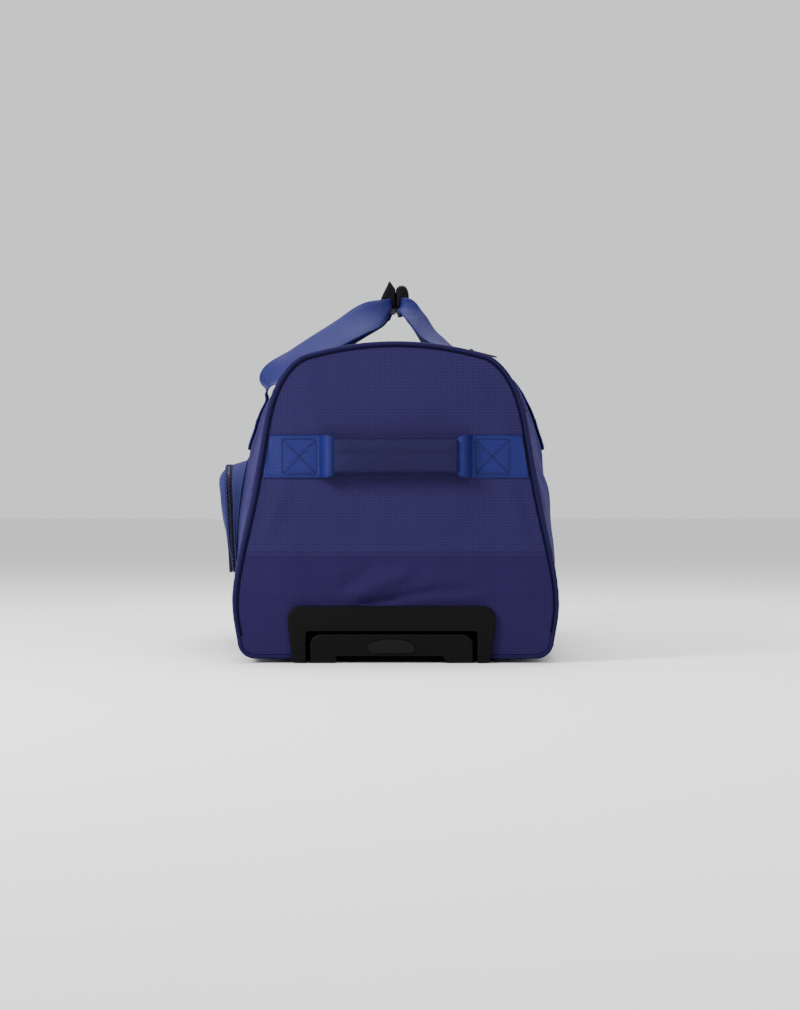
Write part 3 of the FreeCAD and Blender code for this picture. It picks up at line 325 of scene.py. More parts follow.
def stitch_row(name, points, normals, length=None, width=0.0009, height=0.0006):
    """Small raised stitches along a line on a surface."""
    length = length or sizes().stitch
    shown = length * 0.55            # the rest of each stitch is under the cloth
    points = np.asarray(points, float)
    normals = np.asarray(normals, float)
    run = distances(points)
    verts, faces = [], []
    at = length * 0.5
    while at + shown < run[-1]:
        ends = []
        for s in (at, at + shown):
            ends.append([np.array([np.interp(s, run, a[:, k]) for k in range(3)]) for a in (points, normals)])
        ahead = ends[1][0] - ends[0][0]
        ahead /= max(np.linalg.norm(ahead), 1e-9)
        out = ends[0][1] / max(np.linalg.norm(ends[0][1]), 1e-9)
        side = np.cross(out, ahead) * width / 2
        base = len(verts)
        for (place, _), sign in zip(ends, (-1, 1)):
            for w in (-1, 1):
                verts.append(place + side * w - out * 0.0002)
                verts.append(place - ahead * sign * length * 0.12 + side * w * 0.7 + out * height)
        faces += [tuple(base + k for k in f) for f in (
            (1, 3, 7, 5), (0, 1, 5, 4), (2, 6, 7, 3), (0, 2, 3, 1), (4, 5, 7, 6), (0, 4, 6, 2))]
        at += length
    return mesh_object(name, verts, faces, ["nylon_thread"])


def stitches_across(name, skin, half, side, z, count):
    """A straight row of stitches at one height across a surface that faces along the bag."""
    hits = [skin.hit((x, side * OUTSIDE_Y, z), (x, 0, z)) for x in np.linspace(-half, half, count)]
    return stitch_row(name, *zip(*[hit for hit in hits if hit[0] is not None]))


def ease(low, high, value):
    """0 below low, 1 above high, smooth between."""
    t = min(1.0, max(0.0, (value - low) / (high - low)))
    return t * t * (3 - 2 * t)


def orient(obj, centre=(0, 0, CENTRE_Z)):
    """Turns the faces outwards, away from that centre."""
    bm = bmesh.new()
    bm.from_mesh(obj.data)
    bmesh.ops.recalc_face_normals(bm, faces=bm.faces)
    middle = Vector(centre)
    score = sum(f.normal.dot(f.calc_center_median() - middle) * f.calc_area() for f in bm.faces)
    if score < 0:
        bmesh.ops.reverse_faces(bm, faces=bm.faces)
    bm.to_mesh(obj.data)
    bm.free()


def merge_points(obj, gap):
    """Joins points that lie within gap of each other."""
    bm = bmesh.new()
    bm.from_mesh(obj.data)
    bmesh.ops.remove_doubles(bm, verts=bm.verts, dist=gap)
    bm.to_mesh(obj.data)
    bm.free()


def join(name, objects):
    """Several meshes as one object."""
    bm = bmesh.new()
    for obj in objects:
        bm.from_mesh(obj.data)
    mesh = bpy.data.meshes.new(name)
    bm.to_mesh(mesh)
    bm.free()
    for material in objects[0].data.materials:
        mesh.materials.append(material)
    for obj in objects:
        bpy.data.objects.remove(obj)
    return linked(name, mesh)


def join_uv(name, objects):
    """Several meshes with UVs as one object, smooth."""
    bpy.ops.object.select_all(action="DESELECT")
    for obj in objects:
        obj.select_set(True)
    bpy.context.view_layer.objects.active = objects[0]
    bpy.ops.object.join()
    objects[0].name = name
    return objects[0]


def apply_modifiers(obj):
    """Makes the modified shape the object's own mesh."""
    depsgraph = bpy.context.evaluated_depsgraph_get()
    mesh = bpy.data.meshes.new_from_object(obj.evaluated_get(depsgraph))
    old = obj.data
    obj.modifiers.clear()
    obj.data = mesh
    bpy.data.meshes.remove(old)


def remeshed(name, node, voxel):
    """A free copy of a CAD solid as an even mesh."""
    obj = linked(name, frame["nodes"][node].data.copy())
    obj.data.materials.clear()
    even = obj.modifiers.new("even", "REMESH")
    even.mode = "VOXEL"
    even.voxel_size = voxel
    apply_modifiers(obj)
    return obj


def finish_soft(obj, material):
    """Smooth shading, material and box-projected UVs in metres."""
    mesh = obj.data
    mesh.materials.clear()
    mesh.materials.append(MATERIALS[material])
    layer = mesh.uv_layers.new(name="cloth") if not mesh.uv_layers else mesh.uv_layers[0]
    for poly in mesh.polygons:
        axis = max(range(3), key=lambda k: abs(poly.normal[k]))
        a, b = [k for k in range(3) if k != axis]
        for i in poly.loop_indices:
            co = mesh.vertices[mesh.loops[i].vertex_index].co
            layer.data[i].uv = (co[a], co[b])
    mesh.shade_smooth()
    smooth = obj.modifiers.new("round", "SUBSURF")
    smooth.levels = 1
    smooth.render_levels = 1


# ------------------------------------------------------------------ cloth runs
PUFF = 0.004                     # how far stuffing may swell a cover
SETTLE = 0.002                   # how far a slack sheet may settle


def run_cloth(obj, held, frames, gravity=1.0, gap=None, **values):
    """Runs a mesh as cloth, held 1 where it is sewn down, and gives where its points were before."""
    group = obj.vertex_groups.new(name="sewn")
    for i, share in enumerate(held):
        group.add([i], share, "REPLACE")
    if gap:
        merge_points(obj, gap)
    before = [v.co.copy() for v in obj.data.vertices]
    cloth = obj.modifiers.new("cloth", "CLOTH")
    cloth.collision_settings.use_collision = False
    cloth.settings.effector_weights.gravity = gravity
    cloth.settings.mass = 0.25
    cloth.settings.use_pressure = True
    cloth.settings.vertex_group_mass = "sewn"
    for key, value in values.items():
        setattr(cloth.settings, key, value)
    cloth.point_cache.frame_start = 1
    cloth.point_cache.frame_end = frames
    for step in range(1, frames + 1):
        bpy.context.scene.frame_set(step)
    apply_modifiers(obj)
    obj.vertex_groups.clear()
    bpy.context.scene.frame_set(1)
    return before


def inflate(obj, held):
    """Swells a closed mesh like a stuffed cover, with no point further than PUFF from where it was."""
    before = run_cloth(obj, held, 20, gravity=0.0, quality=6, tension_stiffness=18, compression_stiffness=18,
                       bending_stiffness=0.6, uniform_pressure_force=3.0)
    for v, old in zip(obj.data.vertices, before):
        move = v.co - old
        if move.length > PUFF:
            v.co = old + move * (PUFF / move.length)


def settle(obj, free):
    """Lets a sheet cut a little too large settle under its own weight, by SETTLE at most."""
    before = run_cloth(obj, [1 - share for share in free], 22, gap=0.0001, quality=5, tension_stiffness=40,
                       compression_stiffness=20, shear_stiffness=10, bending_stiffness=2.0, shrink_min=-0.012,
                       uniform_pressure_force=0.3)
    for v, old in zip(obj.data.vertices, before):
        move = v.co - old
        if move.length > 0.00001:
            v.co = old + move * (SETTLE * (1 - math.exp(-move.length / SETTLE)) / move.length)


# ------------------------------------------------------------------ materials
MATERIALS = {}


def add(tree, kind, settings=None, feeds=None):
    """Adds a shader node; settings are its properties or sockets, feeds the sockets that others drive."""
    made = tree.nodes.new(kind)
    for key, value in (settings or {}).items():
        if key in made.inputs.keys() or isinstance(key, int):
            made.inputs[key].default_value = value
        else:
            setattr(made, key, value)
    for key, source in (feeds or {}).items():
        tree.links.new(source, made.inputs[key])
    return made


def start_material(name, **surface):
    """A new material with the shader's own constants set, its tree and its shader."""
    material = bpy.data.materials.new(name)
    material.use_nodes = True
    shader = material.node_tree.nodes["Principled BSDF"]
    for key, value in surface.items():
        shader.inputs[key.replace("_", " ")].default_value = value
    MATERIALS[name] = material
    return material, material.node_tree, shader


def shade(rgb, factor):
    """A colour made darker or lighter, with its alpha."""
    return (rgb[0] * factor, rgb[1] * factor, rgb[2] * factor, 1.0)


def mixed(tree, factor, first, second, blend="MIX"):
    """Two colours mixed; each of them, like the factor, is a value or the socket that gives it."""
    values = {"data_type": "RGBA", "blend_type": blend}
    feeds = {}
    for key, item in ((0, factor), (6, first), (7, second)):
        (feeds if isinstance(item, bpy.types.NodeSocket) else values)[key] = item
    return add(tree, "ShaderNodeMix", values, feeds).outputs[2]


def patched(tree, place, rgb, spread, scale, detail=3.0):
    """Soft patches over the object, and the colour a little darker and lighter with them."""
    patches = add(tree, "ShaderNodeTexNoise", {"Scale": scale, "Detail": detail},
                  {"Vector": place.outputs["Object"]}).outputs["Fac"]
    return patches, mixed(tree, patches, shade(rgb, 1 - spread), shade(rgb, 1 + spread))


def raise_surface(tree, shader, height, depth):
    """Gives the shader a bump of that depth."""
    bump = add(tree, "ShaderNodeBump", {"Strength": 0.5, "Distance": depth}, {"Height": height})
    tree.links.new(bump.outputs[0], shader.inputs["Normal"])


def woven(name, rgb, pitch, thread, mark=1.5, **surface):
    """Cloth on UVs in metres: heavy threads every pitch, a fine weave of that thread and faded patches."""
    _, tree, shader = start_material(name, **surface)
    place = add(tree, "ShaderNodeTexCoord")
    cells = add(tree, "ShaderNodeVectorMath", {"operation": "MULTIPLY", 1: (1 / pitch,) * 3},
                {0: place.outputs["UV"]})
    part = add(tree, "ShaderNodeVectorMath", {"operation": "FRACTION"}, {0: cells.outputs[0]})
    middle = add(tree, "ShaderNodeVectorMath", {"operation": "SUBTRACT", 1: (0.5, 0.5, 0.5)},
                 {0: part.outputs[0]})
    away = add(tree, "ShaderNodeVectorMath", {"operation": "ABSOLUTE"}, {0: middle.outputs[0]})
    split = add(tree, "ShaderNodeSeparateXYZ", None, {0: away.outputs[0]})
    edge = add(tree, "ShaderNodeMath", {"operation": "MAXIMUM"}, {0: split.outputs[0], 1: split.outputs[1]})
    line = add(tree, "ShaderNodeMapRange", {"From Min": 0.36, "From Max": 0.47}, {0: edge.outputs[0]})
    weave = add(tree, "ShaderNodeTexVoronoi", {"Scale": 1 / thread, "Randomness": 0.25},
                {"Vector": place.outputs["UV"]})
    _, fade = patched(tree, place, rgb, 0.12, 14.0)
    threads = mixed(tree, line.outputs[0], fade, (mark, mark, mark, 1), "MULTIPLY")
    tree.links.new(threads, shader.inputs["Base Color"])
    height = add(tree, "ShaderNodeMath", {"operation": "MULTIPLY_ADD", 1: -0.5},
                 {0: weave.outputs["Distance"], 2: line.outputs[0]})
    raise_surface(tree, shader, height.outputs[0], 0.00035)


def ribbed(name, rgb, across, along, **surface):
    """Webbing or tape on UVs in metres: ribs of that spacing across it, broken by picks along it, with
    painted shade in the grooves and a painted highlight on the rib tops.
    """
    _, tree, shader = start_material(name, **surface)
    place = add(tree, "ShaderNodeTexCoord")
    split = add(tree, "ShaderNodeSeparateXYZ", None, {0: place.outputs["UV"]})
    waves = []
    for source, spacing in ((1, across), (0, along)):
        phase = add(tree, "ShaderNodeMath", {"operation": "MULTIPLY", 1: 2 * math.pi / spacing},
                    {0: split.outputs[source]})
        waves.append(add(tree, "ShaderNodeMath", {"operation": "SINE"}, {0: phase.outputs[0]}))
    crossed = add(tree, "ShaderNodeMath", {"operation": "MULTIPLY"},
                  {0: waves[0].outputs[0], 1: waves[1].outputs[0]})
    height = add(tree, "ShaderNodeMath", {"operation": "MULTIPLY_ADD", 1: 0.6},
                 {0: crossed.outputs[0], 2: waves[0].outputs[0]})
    # painted shade and highlight: the colour follows the ribs' height, darker in the grooves and lighter on
    # the tops
    rib_shade_mask = add(tree, "ShaderNodeMapRange", {"From Min": -1.6, "From Max": 1.6}, {0: height.outputs[0]})
    _, fade = patched(tree, place, rgb, 0.08, 30.0)
    white = (1, 1, 1)
    painted_rib_shade = mixed(tree, rib_shade_mask.outputs[0], shade(white, 0.72), shade(white, 1.12))
    tree.links.new(mixed(tree, 1.0, fade, painted_rib_shade, "MULTIPLY"), shader.inputs["Base Color"])
    raise_surface(tree, shader, height.outputs[0], 0.0004)


def grained(name, rgb, grain, depth, spread=0.08, stretch=(1, 1, 1), **surface):
    """A solid finish with a grain of that size: a bump, a slight change of colour and of gloss."""
    _, tree, shader = start_material(name, **surface)
    place = add(tree, "ShaderNodeTexCoord")
    drawn = add(tree, "ShaderNodeVectorMath", {"operation": "MULTIPLY", 1: stretch},
                {0: place.outputs["Object"]})
    grit = add(tree, "ShaderNodeTexNoise", {"Scale": 1 / grain, "Detail": 2.0}, {"Vector": drawn.outputs[0]})
    patches, fade = patched(tree, place, rgb, spread, 22.0, 4.0)
    tree.links.new(fade, shader.inputs["Base Color"])
    rough = shader.inputs["Roughness"].default_value
    gloss = add(tree, "ShaderNodeMapRange", {"To Min": rough - 0.08, "To Max": rough + 0.08}, {0: patches})
    tree.links.new(gloss.outputs[0], shader.inputs["Roughness"])
    raise_surface(tree, shader, grit.outputs["Fac"], depth)


def make_materials():
    """Every finish of the bag, named for its material and how that was made."""
    c = colours()
    s = sizes()
    # woven nylon ripstop, coated behind: heavy threads draw a fine lighter grid, soft sheen at the edges;
    # the weave of every cloth is drawn about twice as coarse as it is, so that it shows
    cloth = {"Roughness": 0.66, "Specular IOR Level": 0.04, "Sheen Weight": 0.12, "Sheen Roughness": 0.35,
             "Sheen Tint": (*colour("#5a5fd0"), 1.0)}
    woven("ripstop_nylon", c.shell, s.ripstop, 0.0009, **cloth)
    woven("ripstop_nylon_lower", c.lower, s.ripstop, 0.0009, **cloth)
    # plain woven polyester of the pocket: closer threads and a little more gloss than the ripstop
    cloth["Roughness"] = 0.55
    woven("pocket_polyester", c.pocket, 0.0022, 0.0009, mark=1.08, **cloth)
    # the coated back of the cloth: smooth and dull
    grained("coated_lining", c.lining, 0.0012, 0.0002, Roughness=0.5, Specular_IOR_Level=0.2)
    # bias-cut twill over the piping cord: nearly matt, its fine ribs drawn twice as coarse as they are
    ribbed("twill_piping", c.piping, 0.0012, 0.0011, Roughness=0.6, Specular_IOR_Level=0.06)
    # the binding's near-black strip inside the piping is partly real binding and partly painted seam shade
    ribbed("twill_binding_seam_shade", c.binding_seam_shade, 0.0012, 0.0011, Roughness=0.7, Specular_IOR_Level=0.03)
    # woven polypropylene webbing: bright, ribbed, with a soft gloss on each rib and painted shade and
    # highlight along its ribs
    ribbed("polypropylene_webbing", c.webbing, 0.0016, 0.0022, Roughness=0.48, Specular_IOR_Level=0.15)
    # bonded nylon thread: round and slightly waxy
    grained("nylon_thread", c.thread, 0.0004, 0.0001, Roughness=0.5, Specular_IOR_Level=0.2)
    # foam-backed polyester of the grips: soft and matt
    woven("padded_polyester", c.grip, 0.0022, 0.0010, mark=1.05, Roughness=0.66, Specular_IOR_Level=0.12)
    # vinyl-coated wrap: black with a broad soft gloss and a leather-like grain
    grained("vinyl_wrap", c.wrap, 0.0011, 0.0004, Roughness=0.42, Specular_IOR_Level=0.08)
    # nylon coil on a twill tape: the coil is smooth and catches small lights; the tape's ribs are drawn
    # twice as coarse as they are
    grained("nylon_coil", [v * 1.6 for v in c.zip], 0.0006, 0.0001, Roughness=0.35, Specular_IOR_Level=0.4)
    ribbed("zip_tape", c.zip, 0.0011, 0.0012, Roughness=0.7, Specular_IOR_Level=0.14)
    # moulded ABS with a spark-eroded grain: black, dull and slightly grey where light grazes it
    grained("textured_abs", c.moulding, 0.0007, 0.0003, Roughness=0.5, Specular_IOR_Level=0.06)
    # polished ABS of the button: smoother than its surround
    grained("satin_abs", [v * 1.3 for v in c.moulding], 0.0009, 0.00008, Roughness=0.32,
            Specular_IOR_Level=0.1)
    # fluted polypropylene board: dull black sheet
    grained("polypropylene_board", colour("#131315"), 0.0025, 0.0003, Roughness=0.6, Specular_IOR_Level=0.3)
    # anodised aluminium drawn tube: fine lines along its length
    grained("anodised_aluminium", colour("#a7a9ad"), 0.0012, 0.00006, stretch=(1, 0.03, 1), Metallic=1.0,
            Roughness=0.32)
    # zinc alloy under black lacquer: slider bodies and pulls
    grained("lacquered_zinc", colour("#141418"), 0.0016, 0.00008, Roughness=0.28, Coat_Weight=0.3,
            Coat_Roughness=0.15)
    # zinc-plated steel screws: bright, slightly blue
    grained("zinc_plated_steel", colour("#b4b7bb"), 0.0009, 0.00005, Metallic=1.0, Roughness=0.3)
    # black-oxide steel screws: dark with a faint oily gloss
    grained("black_oxide_steel", colour("#1a1a1c"), 0.0009, 0.00005, Metallic=1.0, Roughness=0.4)
    # spring steel wire, oil-blackened
    grained("spring_steel", colour("#6f6c68"), 0.0008, 0.00004, Metallic=1.0, Roughness=0.38)
    # moulded rubber tread: matt, a little dusty
    grained("moulded_rubber", colour("#121213"), 0.0014, 0.0004, spread=0.2, Roughness=0.78,
            Specular_IOR_Level=0.25)
    # glass-filled nylon hub: smooth and dull grey
    grained("glass_filled_nylon", colour("#3a3c40"), 0.0010, 0.0002, Roughness=0.45, Specular_IOR_Level=0.35)
    # matt background paper: pale and even
    grained("floor_paper", colour("#e9e9ea"), 0.004, 0.0001, spread=0.01, Roughness=0.9)


HARD_FINISHES = {
    "anodised_aluminium": ("inner_tubes", "middle_tubes", "outer_tubes"),
    "black_oxide_steel": ("frame_screws",),
    "glass_filled_nylon": ("inner_tube_guides", "middle_tube_glides", "outer_tube_collars", "left_wheel_hub",
                           "right_wheel_hub"),
    "lacquered_zinc": ("front_zip_pull", "front_zip_slider", "rear_zip_pull", "rear_zip_slider",
                       "pocket_zip_pull", "pocket_zip_slider"),
    "moulded_rubber": ("left_wheel_tyre", "right_wheel_tyre"),
    "polypropylene_board": ("base_board",),
    "satin_abs": ("release_button",),
    "spring_steel": ("button_springs",),
    "textured_abs": ("front_frame_bracket", "rear_frame_bracket", "grip_back_shell", "grip_front_shell",
                     "handle_bezel", "left_wheel_housing", "right_wheel_housing", "skid_rails"),
    "zinc_plated_steel": ("rail_screws", "grip_screws", "lock_rods", "wheel_axles"),
}


def dress_hard_parts():
    """Every rigid part keeps its solid and gets its finish."""
    for finish, names in HARD_FINISHES.items():
        for name in names:
            slots = frame["nodes"][name].data.materials
            if not slots:
                slots.append(None)
            for i in range(len(slots)):
                slots[i] = MATERIALS[finish]


# ------------------------------------------------------------------ shell and flap
RINGS = 139
COLUMNS = 208
BAG_CLOTH = ("ripstop_nylon", "ripstop_nylon_lower", "coated_lining")


class FabricGrid:
    """The bag's outer surface as a grid: rows run along the bag, columns run round it from the bottom."""

    def __init__(self):
        skin = nodes_skin(*SHELL_NODES)
        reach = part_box("left_side_panel")[1].y - 0.0006
        self.ys = np.linspace(-reach, reach, RINGS)
        half = [ring_at(skin, y) for y in self.ys[RINGS // 2:]]
        rings = [walk(r, COLUMNS, closed=True) for r in half]
        rings = rings[:0:-1] + rings
        self.points = np.empty((RINGS, COLUMNS, 3))
        for i, (y, ring) in enumerate(zip(self.ys, rings)):
            self.points[i, :, 0] = ring[:, 0]
            self.points[i, :, 1] = y
            self.points[i, :, 2] = ring[:, 1]
        along = np.gradient(self.points, axis=0)
        round_ = (np.roll(self.points, -1, axis=1) - np.roll(self.points, 1, axis=1)) / 2
        normal = np.cross(along, round_)
        normal /= np.linalg.norm(normal, axis=2, keepdims=True)
        if np.sum(normal[:, :, 0] * self.points[:, :, 0]) < 0:
            normal = -normal
        self.normals = normal
        self.girth = distances(self.points[RINGS // 2])


def covered(skin, place, normal):
    """True where the CAD skin lies at this place; five rays bridge the hair gaps between panels."""
    hair, above, below = 0.0004, 0.006, 0.004
    side = normal.orthogonal().normalized()
    over = side.cross(normal)
    for shift in (Vector(), side * hair, side * -hair, over * hair, over * -hair):
        hit, _, _, gap = skin.tree.ray_cast(place + shift + normal * above, -normal)
        if hit is not None and gap < above + below:
            return True
    return False


def trim(points, normals, faces, skin):
    """Keeps what lies over the skin, and pulls the edge to the skin's own edge. Returns kept faces."""
    on = [covered(skin, p, n) for p, n in zip(points, normals)]
    kept = [f for f in faces if sum(on[i] for i in f) >= 1]
    near = {}
    for f in kept:
        for i in f:
            if not on[i]:
                near.setdefault(i, set()).update(j for j in f if on[j])
    for i, others in near.items():
        if not others:
            continue
        j = min(others, key=lambda k: (points[k] - points[i]).length)
        low, high = 0.0, 1.0
        for _ in range(7):
            t = (low + high) / 2
            if covered(skin, points[j].lerp(points[i], t), normals[j].lerp(normals[i], t).normalized()):
                low = t
            else:
                high = t
        points[i] = points[j].lerp(points[i], low)
    return kept


def slack(x, y, z):
    """How far the fabric at a place stands off its taut line, before it is pinned at the seams."""
    s = sizes()
    side = ease(0.10, 0.16, abs(x))
    fold = noise.noise(Vector((x * 9, y * 3.2 + (4 if x > 0 else 0), z * 15)))
    crease = abs(noise.noise(Vector((x * 6 + 3, y * 7.5, z * 11 + y * 9))))
    rumple = noise.noise(Vector((x * 34, y * 26, z * 34)))
    dip = s.sag * side * (0.9 * fold - 1.15 * (1 - crease) ** 4 * 0.6)
    return dip + s.ripple * (0.55 * rumple + 0.8 * fold)


def tuck(x, y, z):
    """How far the straps and their load draw the sides in between the pocket and the shoulder."""
    high = ease(0.262, 0.282, z) * (1 - ease(0.332, 0.352, z))
    return sizes().tuck * high * ease(0.10, 0.14, abs(x)) * ease(0.0, 0.10, SEWN_Y - abs(y))


def pinned(x, y, z):
    """1 where the fabric is free and 0 where it is sewn or screwed to something."""
    free = ease(0.0, 0.035, SEWN_Y - abs(y)) * ease(0.004, 0.05, z)
    if z > 0.3:
        past_zip = max(abs(y) - ZIP_Y, ZIP_SIDE_X - x)
        free *= ease(0.001, 0.03, abs(past_zip)) * ease(0.002, 0.02, abs(x - HINGE_X))
    if abs(x) > 0.1:
        past_foot = max(abs(abs(y) - FOOT_Y) - 0.027, 0.254 - z, 0)
        free *= ease(-0.004, 0.03, past_foot)
    if x < -0.12:
        past_pocket = max(abs(y) - POCKET_HALF, z - POCKET_TOP, POCKET_LOW - z)
        free *= ease(-0.004, 0.03, past_pocket)
    if y > 0.3 and z < 0.14:
        past_housing = max(0.343 - y, z - 0.096, 0.143 - abs(x))
        free *= ease(0.0, 0.03, past_housing)
    return free


def build_shell():
    """The slack fabric of the sides, the underside and the ends of the top, and that of the flap."""
    grid = FabricGrid()
    flat = grid.points.reshape(-1, 3)
    normals = grid.normals.reshape(-1, 3)
    all_faces = grid_faces(RINGS, COLUMNS, wrap=True)
    for name, nodes, rides in (("body_fabric", SHELL_NODES[:-1], "root"),
                               ("flap_fabric", SHELL_NODES[-1:], "main_flap_body")):
        points = [Vector(p) for p in flat]
        ways = [Vector(n) for n in normals]
        used, faces = renumbered(trim(points, ways, all_faces, nodes_skin(*nodes)))
        verts, uvs = [], []
        for i in used:
            p = points[i]
            verts.append(p + ways[i] * (slack(*p) * pinned(*p) - tuck(*p)))
            uvs.append((grid.girth[i % COLUMNS], p.y))
        obj = mesh_object(name, verts, faces, BAG_CLOTH, uvs)
        for poly in obj.data.polygons:
            if poly.center.z < SEAM_Z and abs(poly.center.x) > 0.08 or poly.center.z < 0.02:
                poly.material_index = 1
        orient(obj)
        settle(obj, [pinned(*points[i]) for i in used])
        thicken(obj, sizes().fabric, inner=2)
        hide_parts(*nodes)
        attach(obj, rides)


# ------------------------------------------------------------------ zips
def plan_path(offset, right):
    """The zip's line in plan, moved outwards by offset: from the front tail round to the rear tail."""
    step = 0.004
    x_side = ZIP_SIDE_X - offset
    y_end = ZIP_Y + offset
    r = ZIP_CORNER_R + offset
    corner = [(x_side + r - r * math.sin(a), -(y_end - r + r * math.cos(a)))
              for a in np.linspace(0, math.pi / 2, 14)]
    line = [(right, -y_end)] + corner + [(x, -y) for x, y in reversed(corner)] + [(right, y_end)]
    run = sum(math.dist(a, b) for a, b in zip(line, line[1:]))
    return walk(line, int(run / step) + 1)


def on_top(x, y, lift):
    """A point over the curved top of the bag."""
    r = TOP_ARC_R + lift
    slope = math.asin(max(-1, min(1, x / r)))
    return Vector((r * math.sin(slope), y, TOP_ARC_Z + r * math.cos(slope)))


def top_normal(x):
    """The way out from the curved top."""
    return Vector((x, 0, math.sqrt(TOP_ARC_R ** 2 - x * x))).normalized()


def tape_between(name, one, other, lift_one, lift_other):
    """The zip's tape between two plan lines with the same number of points."""
    verts = [on_top(*p, lift_one) for p in one] + [on_top(*p, lift_other) for p in other]
    n = len(one)
    faces = [(i, i + 1, n + i + 1, n + i) for i in range(n - 1)]
    run = distances(one)
    width = math.dist(one[n // 2], other[n // 2])
    obj = mesh_object(name, verts, faces, ["zip_tape"], [(r, v) for v in (0.0, width) for r in run])
    orient(obj)
    thicken(obj, 0.0007)
    return obj


def zip_teeth(name, turns, place):
    """One coil of a zip: place(i, along, across, lift) gives a point of its turn i."""
    verts, faces = [], []
    for i in turns:
        base = len(verts)
        for a, b, lift in ((-1, 0, 0), (1, 0, 0), (1, 1, 0), (-1, 1, 0), (-0.8, 0.1, 1), (0.8, 0.1, 1),
                           (0.8, 0.9, 1), (-0.8, 0.9, 1)):
            verts.append(place(i, a, b, lift))
        faces += [tuple(base + k for k in f) for f in (
            (0, 3, 2, 1), (4, 5, 6, 7), (0, 1, 5, 4), (1, 2, 6, 5), (2, 3, 7, 6), (3, 0, 4, 7))]
    obj = mesh_object(name, verts, faces, ["nylon_coil"], smooth=False)
    bevel(obj, 0.0003, 1)
    return obj


def build_zips():
    """Tape and coil of the long zip, one half on the body and one half on the flap."""
    tooth = sizes().tooth
    count = len(plan_path(0, ZIP_TAIL_X))
    for name, sign, rides, node in (("body_zip", 1, "root", "body_zip_row"),
                                    ("flap_zip", -1, "main_flap_body", "flap_zip_row")):
        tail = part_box(node)[1].x
        near, far, hem, seam = [walk(plan_path(sign * off, tail), count)
                                for off in (0.0004, 0.0060, 0.0062, 0.0090)]
        tape = tape_between(name + "_tape", near, far, -0.0018, -0.0012)
        roll = tube(name + "_hem", [on_top(*p, 0.0006) for p in hem], 0.0013, "ripstop_nylon", 8)
        run = walk(plan_path(0, tail), int(1.05 / tooth))

        def at(i, a, b, lift, run=run, sign=sign):
            ahead = run[i + 1] - run[i - 1]
            ahead /= np.linalg.norm(ahead)
            out = np.array([ahead[1], -ahead[0]]) * sign
            p = run[i] + ahead * (a * tooth * 0.42) + out * (-0.0008 + 0.0030 * b)
            return on_top(*p, -0.0012 + 0.0015 * lift)

        teeth = zip_teeth(name + "_coil", range(1 + (sign > 0), len(run) - 1, 2), at)
        sewn = [on_top(*p, 0.0002) for p in seam]
        thread = stitch_row(name + "_stitches", sewn, [top_normal(p.x) for p in sewn])
        for obj in (tape, roll, teeth, thread):
            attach(obj, rides)
        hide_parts(node)


# ------------------------------------------------------------------ end panels and piping
PANELS = {}                      # the finished surface of the front (-1) and the rear (1) panel
PIPING_Y = 0.4162                # middle of each piping cord
# the binding's dark strip, partly painted seam shade, is left out below this height
BINDING_SHADE_FOOT = 0.034             # below this height the binding is turned under the panel
# soft creases of the end panels: start (x, z), end (x, z), height, width
FRONT_CREASES = (
    (-0.050, 0.0790, 0.0150, 0.1060, 0.0046, 0.0095), (-0.0420, 0.0682, 0.0000, 0.0765, -0.0040, 0.0036),
    (-0.0020, 0.0768, 0.0443, 0.0842, -0.0036, 0.0038), (0.0443, 0.0842, 0.0980, 0.0868, -0.0016, 0.0045),
    (-0.068, 0.084, -0.022, 0.117, -0.0018, 0.0080), (0.025, 0.0960, 0.085, 0.1000, 0.0022, 0.0080),
    (0.030, 0.0740, 0.090, 0.0770, 0.0012, 0.0050), (0.060, 0.1020, 0.150, 0.1080, -0.0012, 0.0100),
    (-0.130, 0.205, -0.155, 0.150, 0.0014, 0.0080), (0.130, 0.205, 0.160, 0.150, 0.0014, 0.0080),
    (-0.150, 0.110, -0.115, 0.070, 0.0012, 0.0090), (0.105, 0.300, 0.085, 0.345, 0.0010, 0.0090),
)
REAR_CREASES = (
    (-0.120, 0.085, 0.000, 0.120, 0.0020, 0.0120), (0.040, 0.060, 0.130, 0.120, 0.0018, 0.0110),
    (-0.130, 0.200, -0.155, 0.140, 0.0014, 0.0080), (0.130, 0.200, 0.155, 0.150, 0.0014, 0.0080),
    (-0.040, 0.170, 0.050, 0.150, 0.0012, 0.0120),
)


def panel_height(x, z, side):
    """How far an end panel stands out at a place: a low crown with soft creases, flat at its fittings."""
    s = sizes()
    crown = s.crown * max(0.0, 1 - (x / 0.19) ** 2) * max(0.0, 1 - ((z - 0.20) / 0.17) ** 2)
    ridge = 0.0
    for x0, z0, x1, z1, height, width in FRONT_CREASES if side < 0 else REAR_CREASES:
        dx, dz = x1 - x0, z1 - z0
        t = ((x - x0) * dx + (z - z0) * dz) / (dx * dx + dz * dz)
        off = ((x - x0) * dz - (z - z0) * dx) / math.hypot(dx, dz)
        fade = ease(-0.25, 0.2, t) * ease(-0.25, 0.2, 1 - t)
        ridge += height * fade * math.exp(-(off / width) ** 2)
    ripple = s.ripple * 0.5 * noise.noise(Vector((x * 30, 3 * side, z * 9)))
    ripple += s.ripple * 0.35 * noise.noise(Vector((x * 14, 5 * side, z * 22)))
    if side < 0:
        return (crown + ripple) * ease(0.068, 0.082, z) + ridge * ease(0.0665, 0.0725, z)
    return (crown + ripple + ridge) * ease(0.01, 0.05, z)


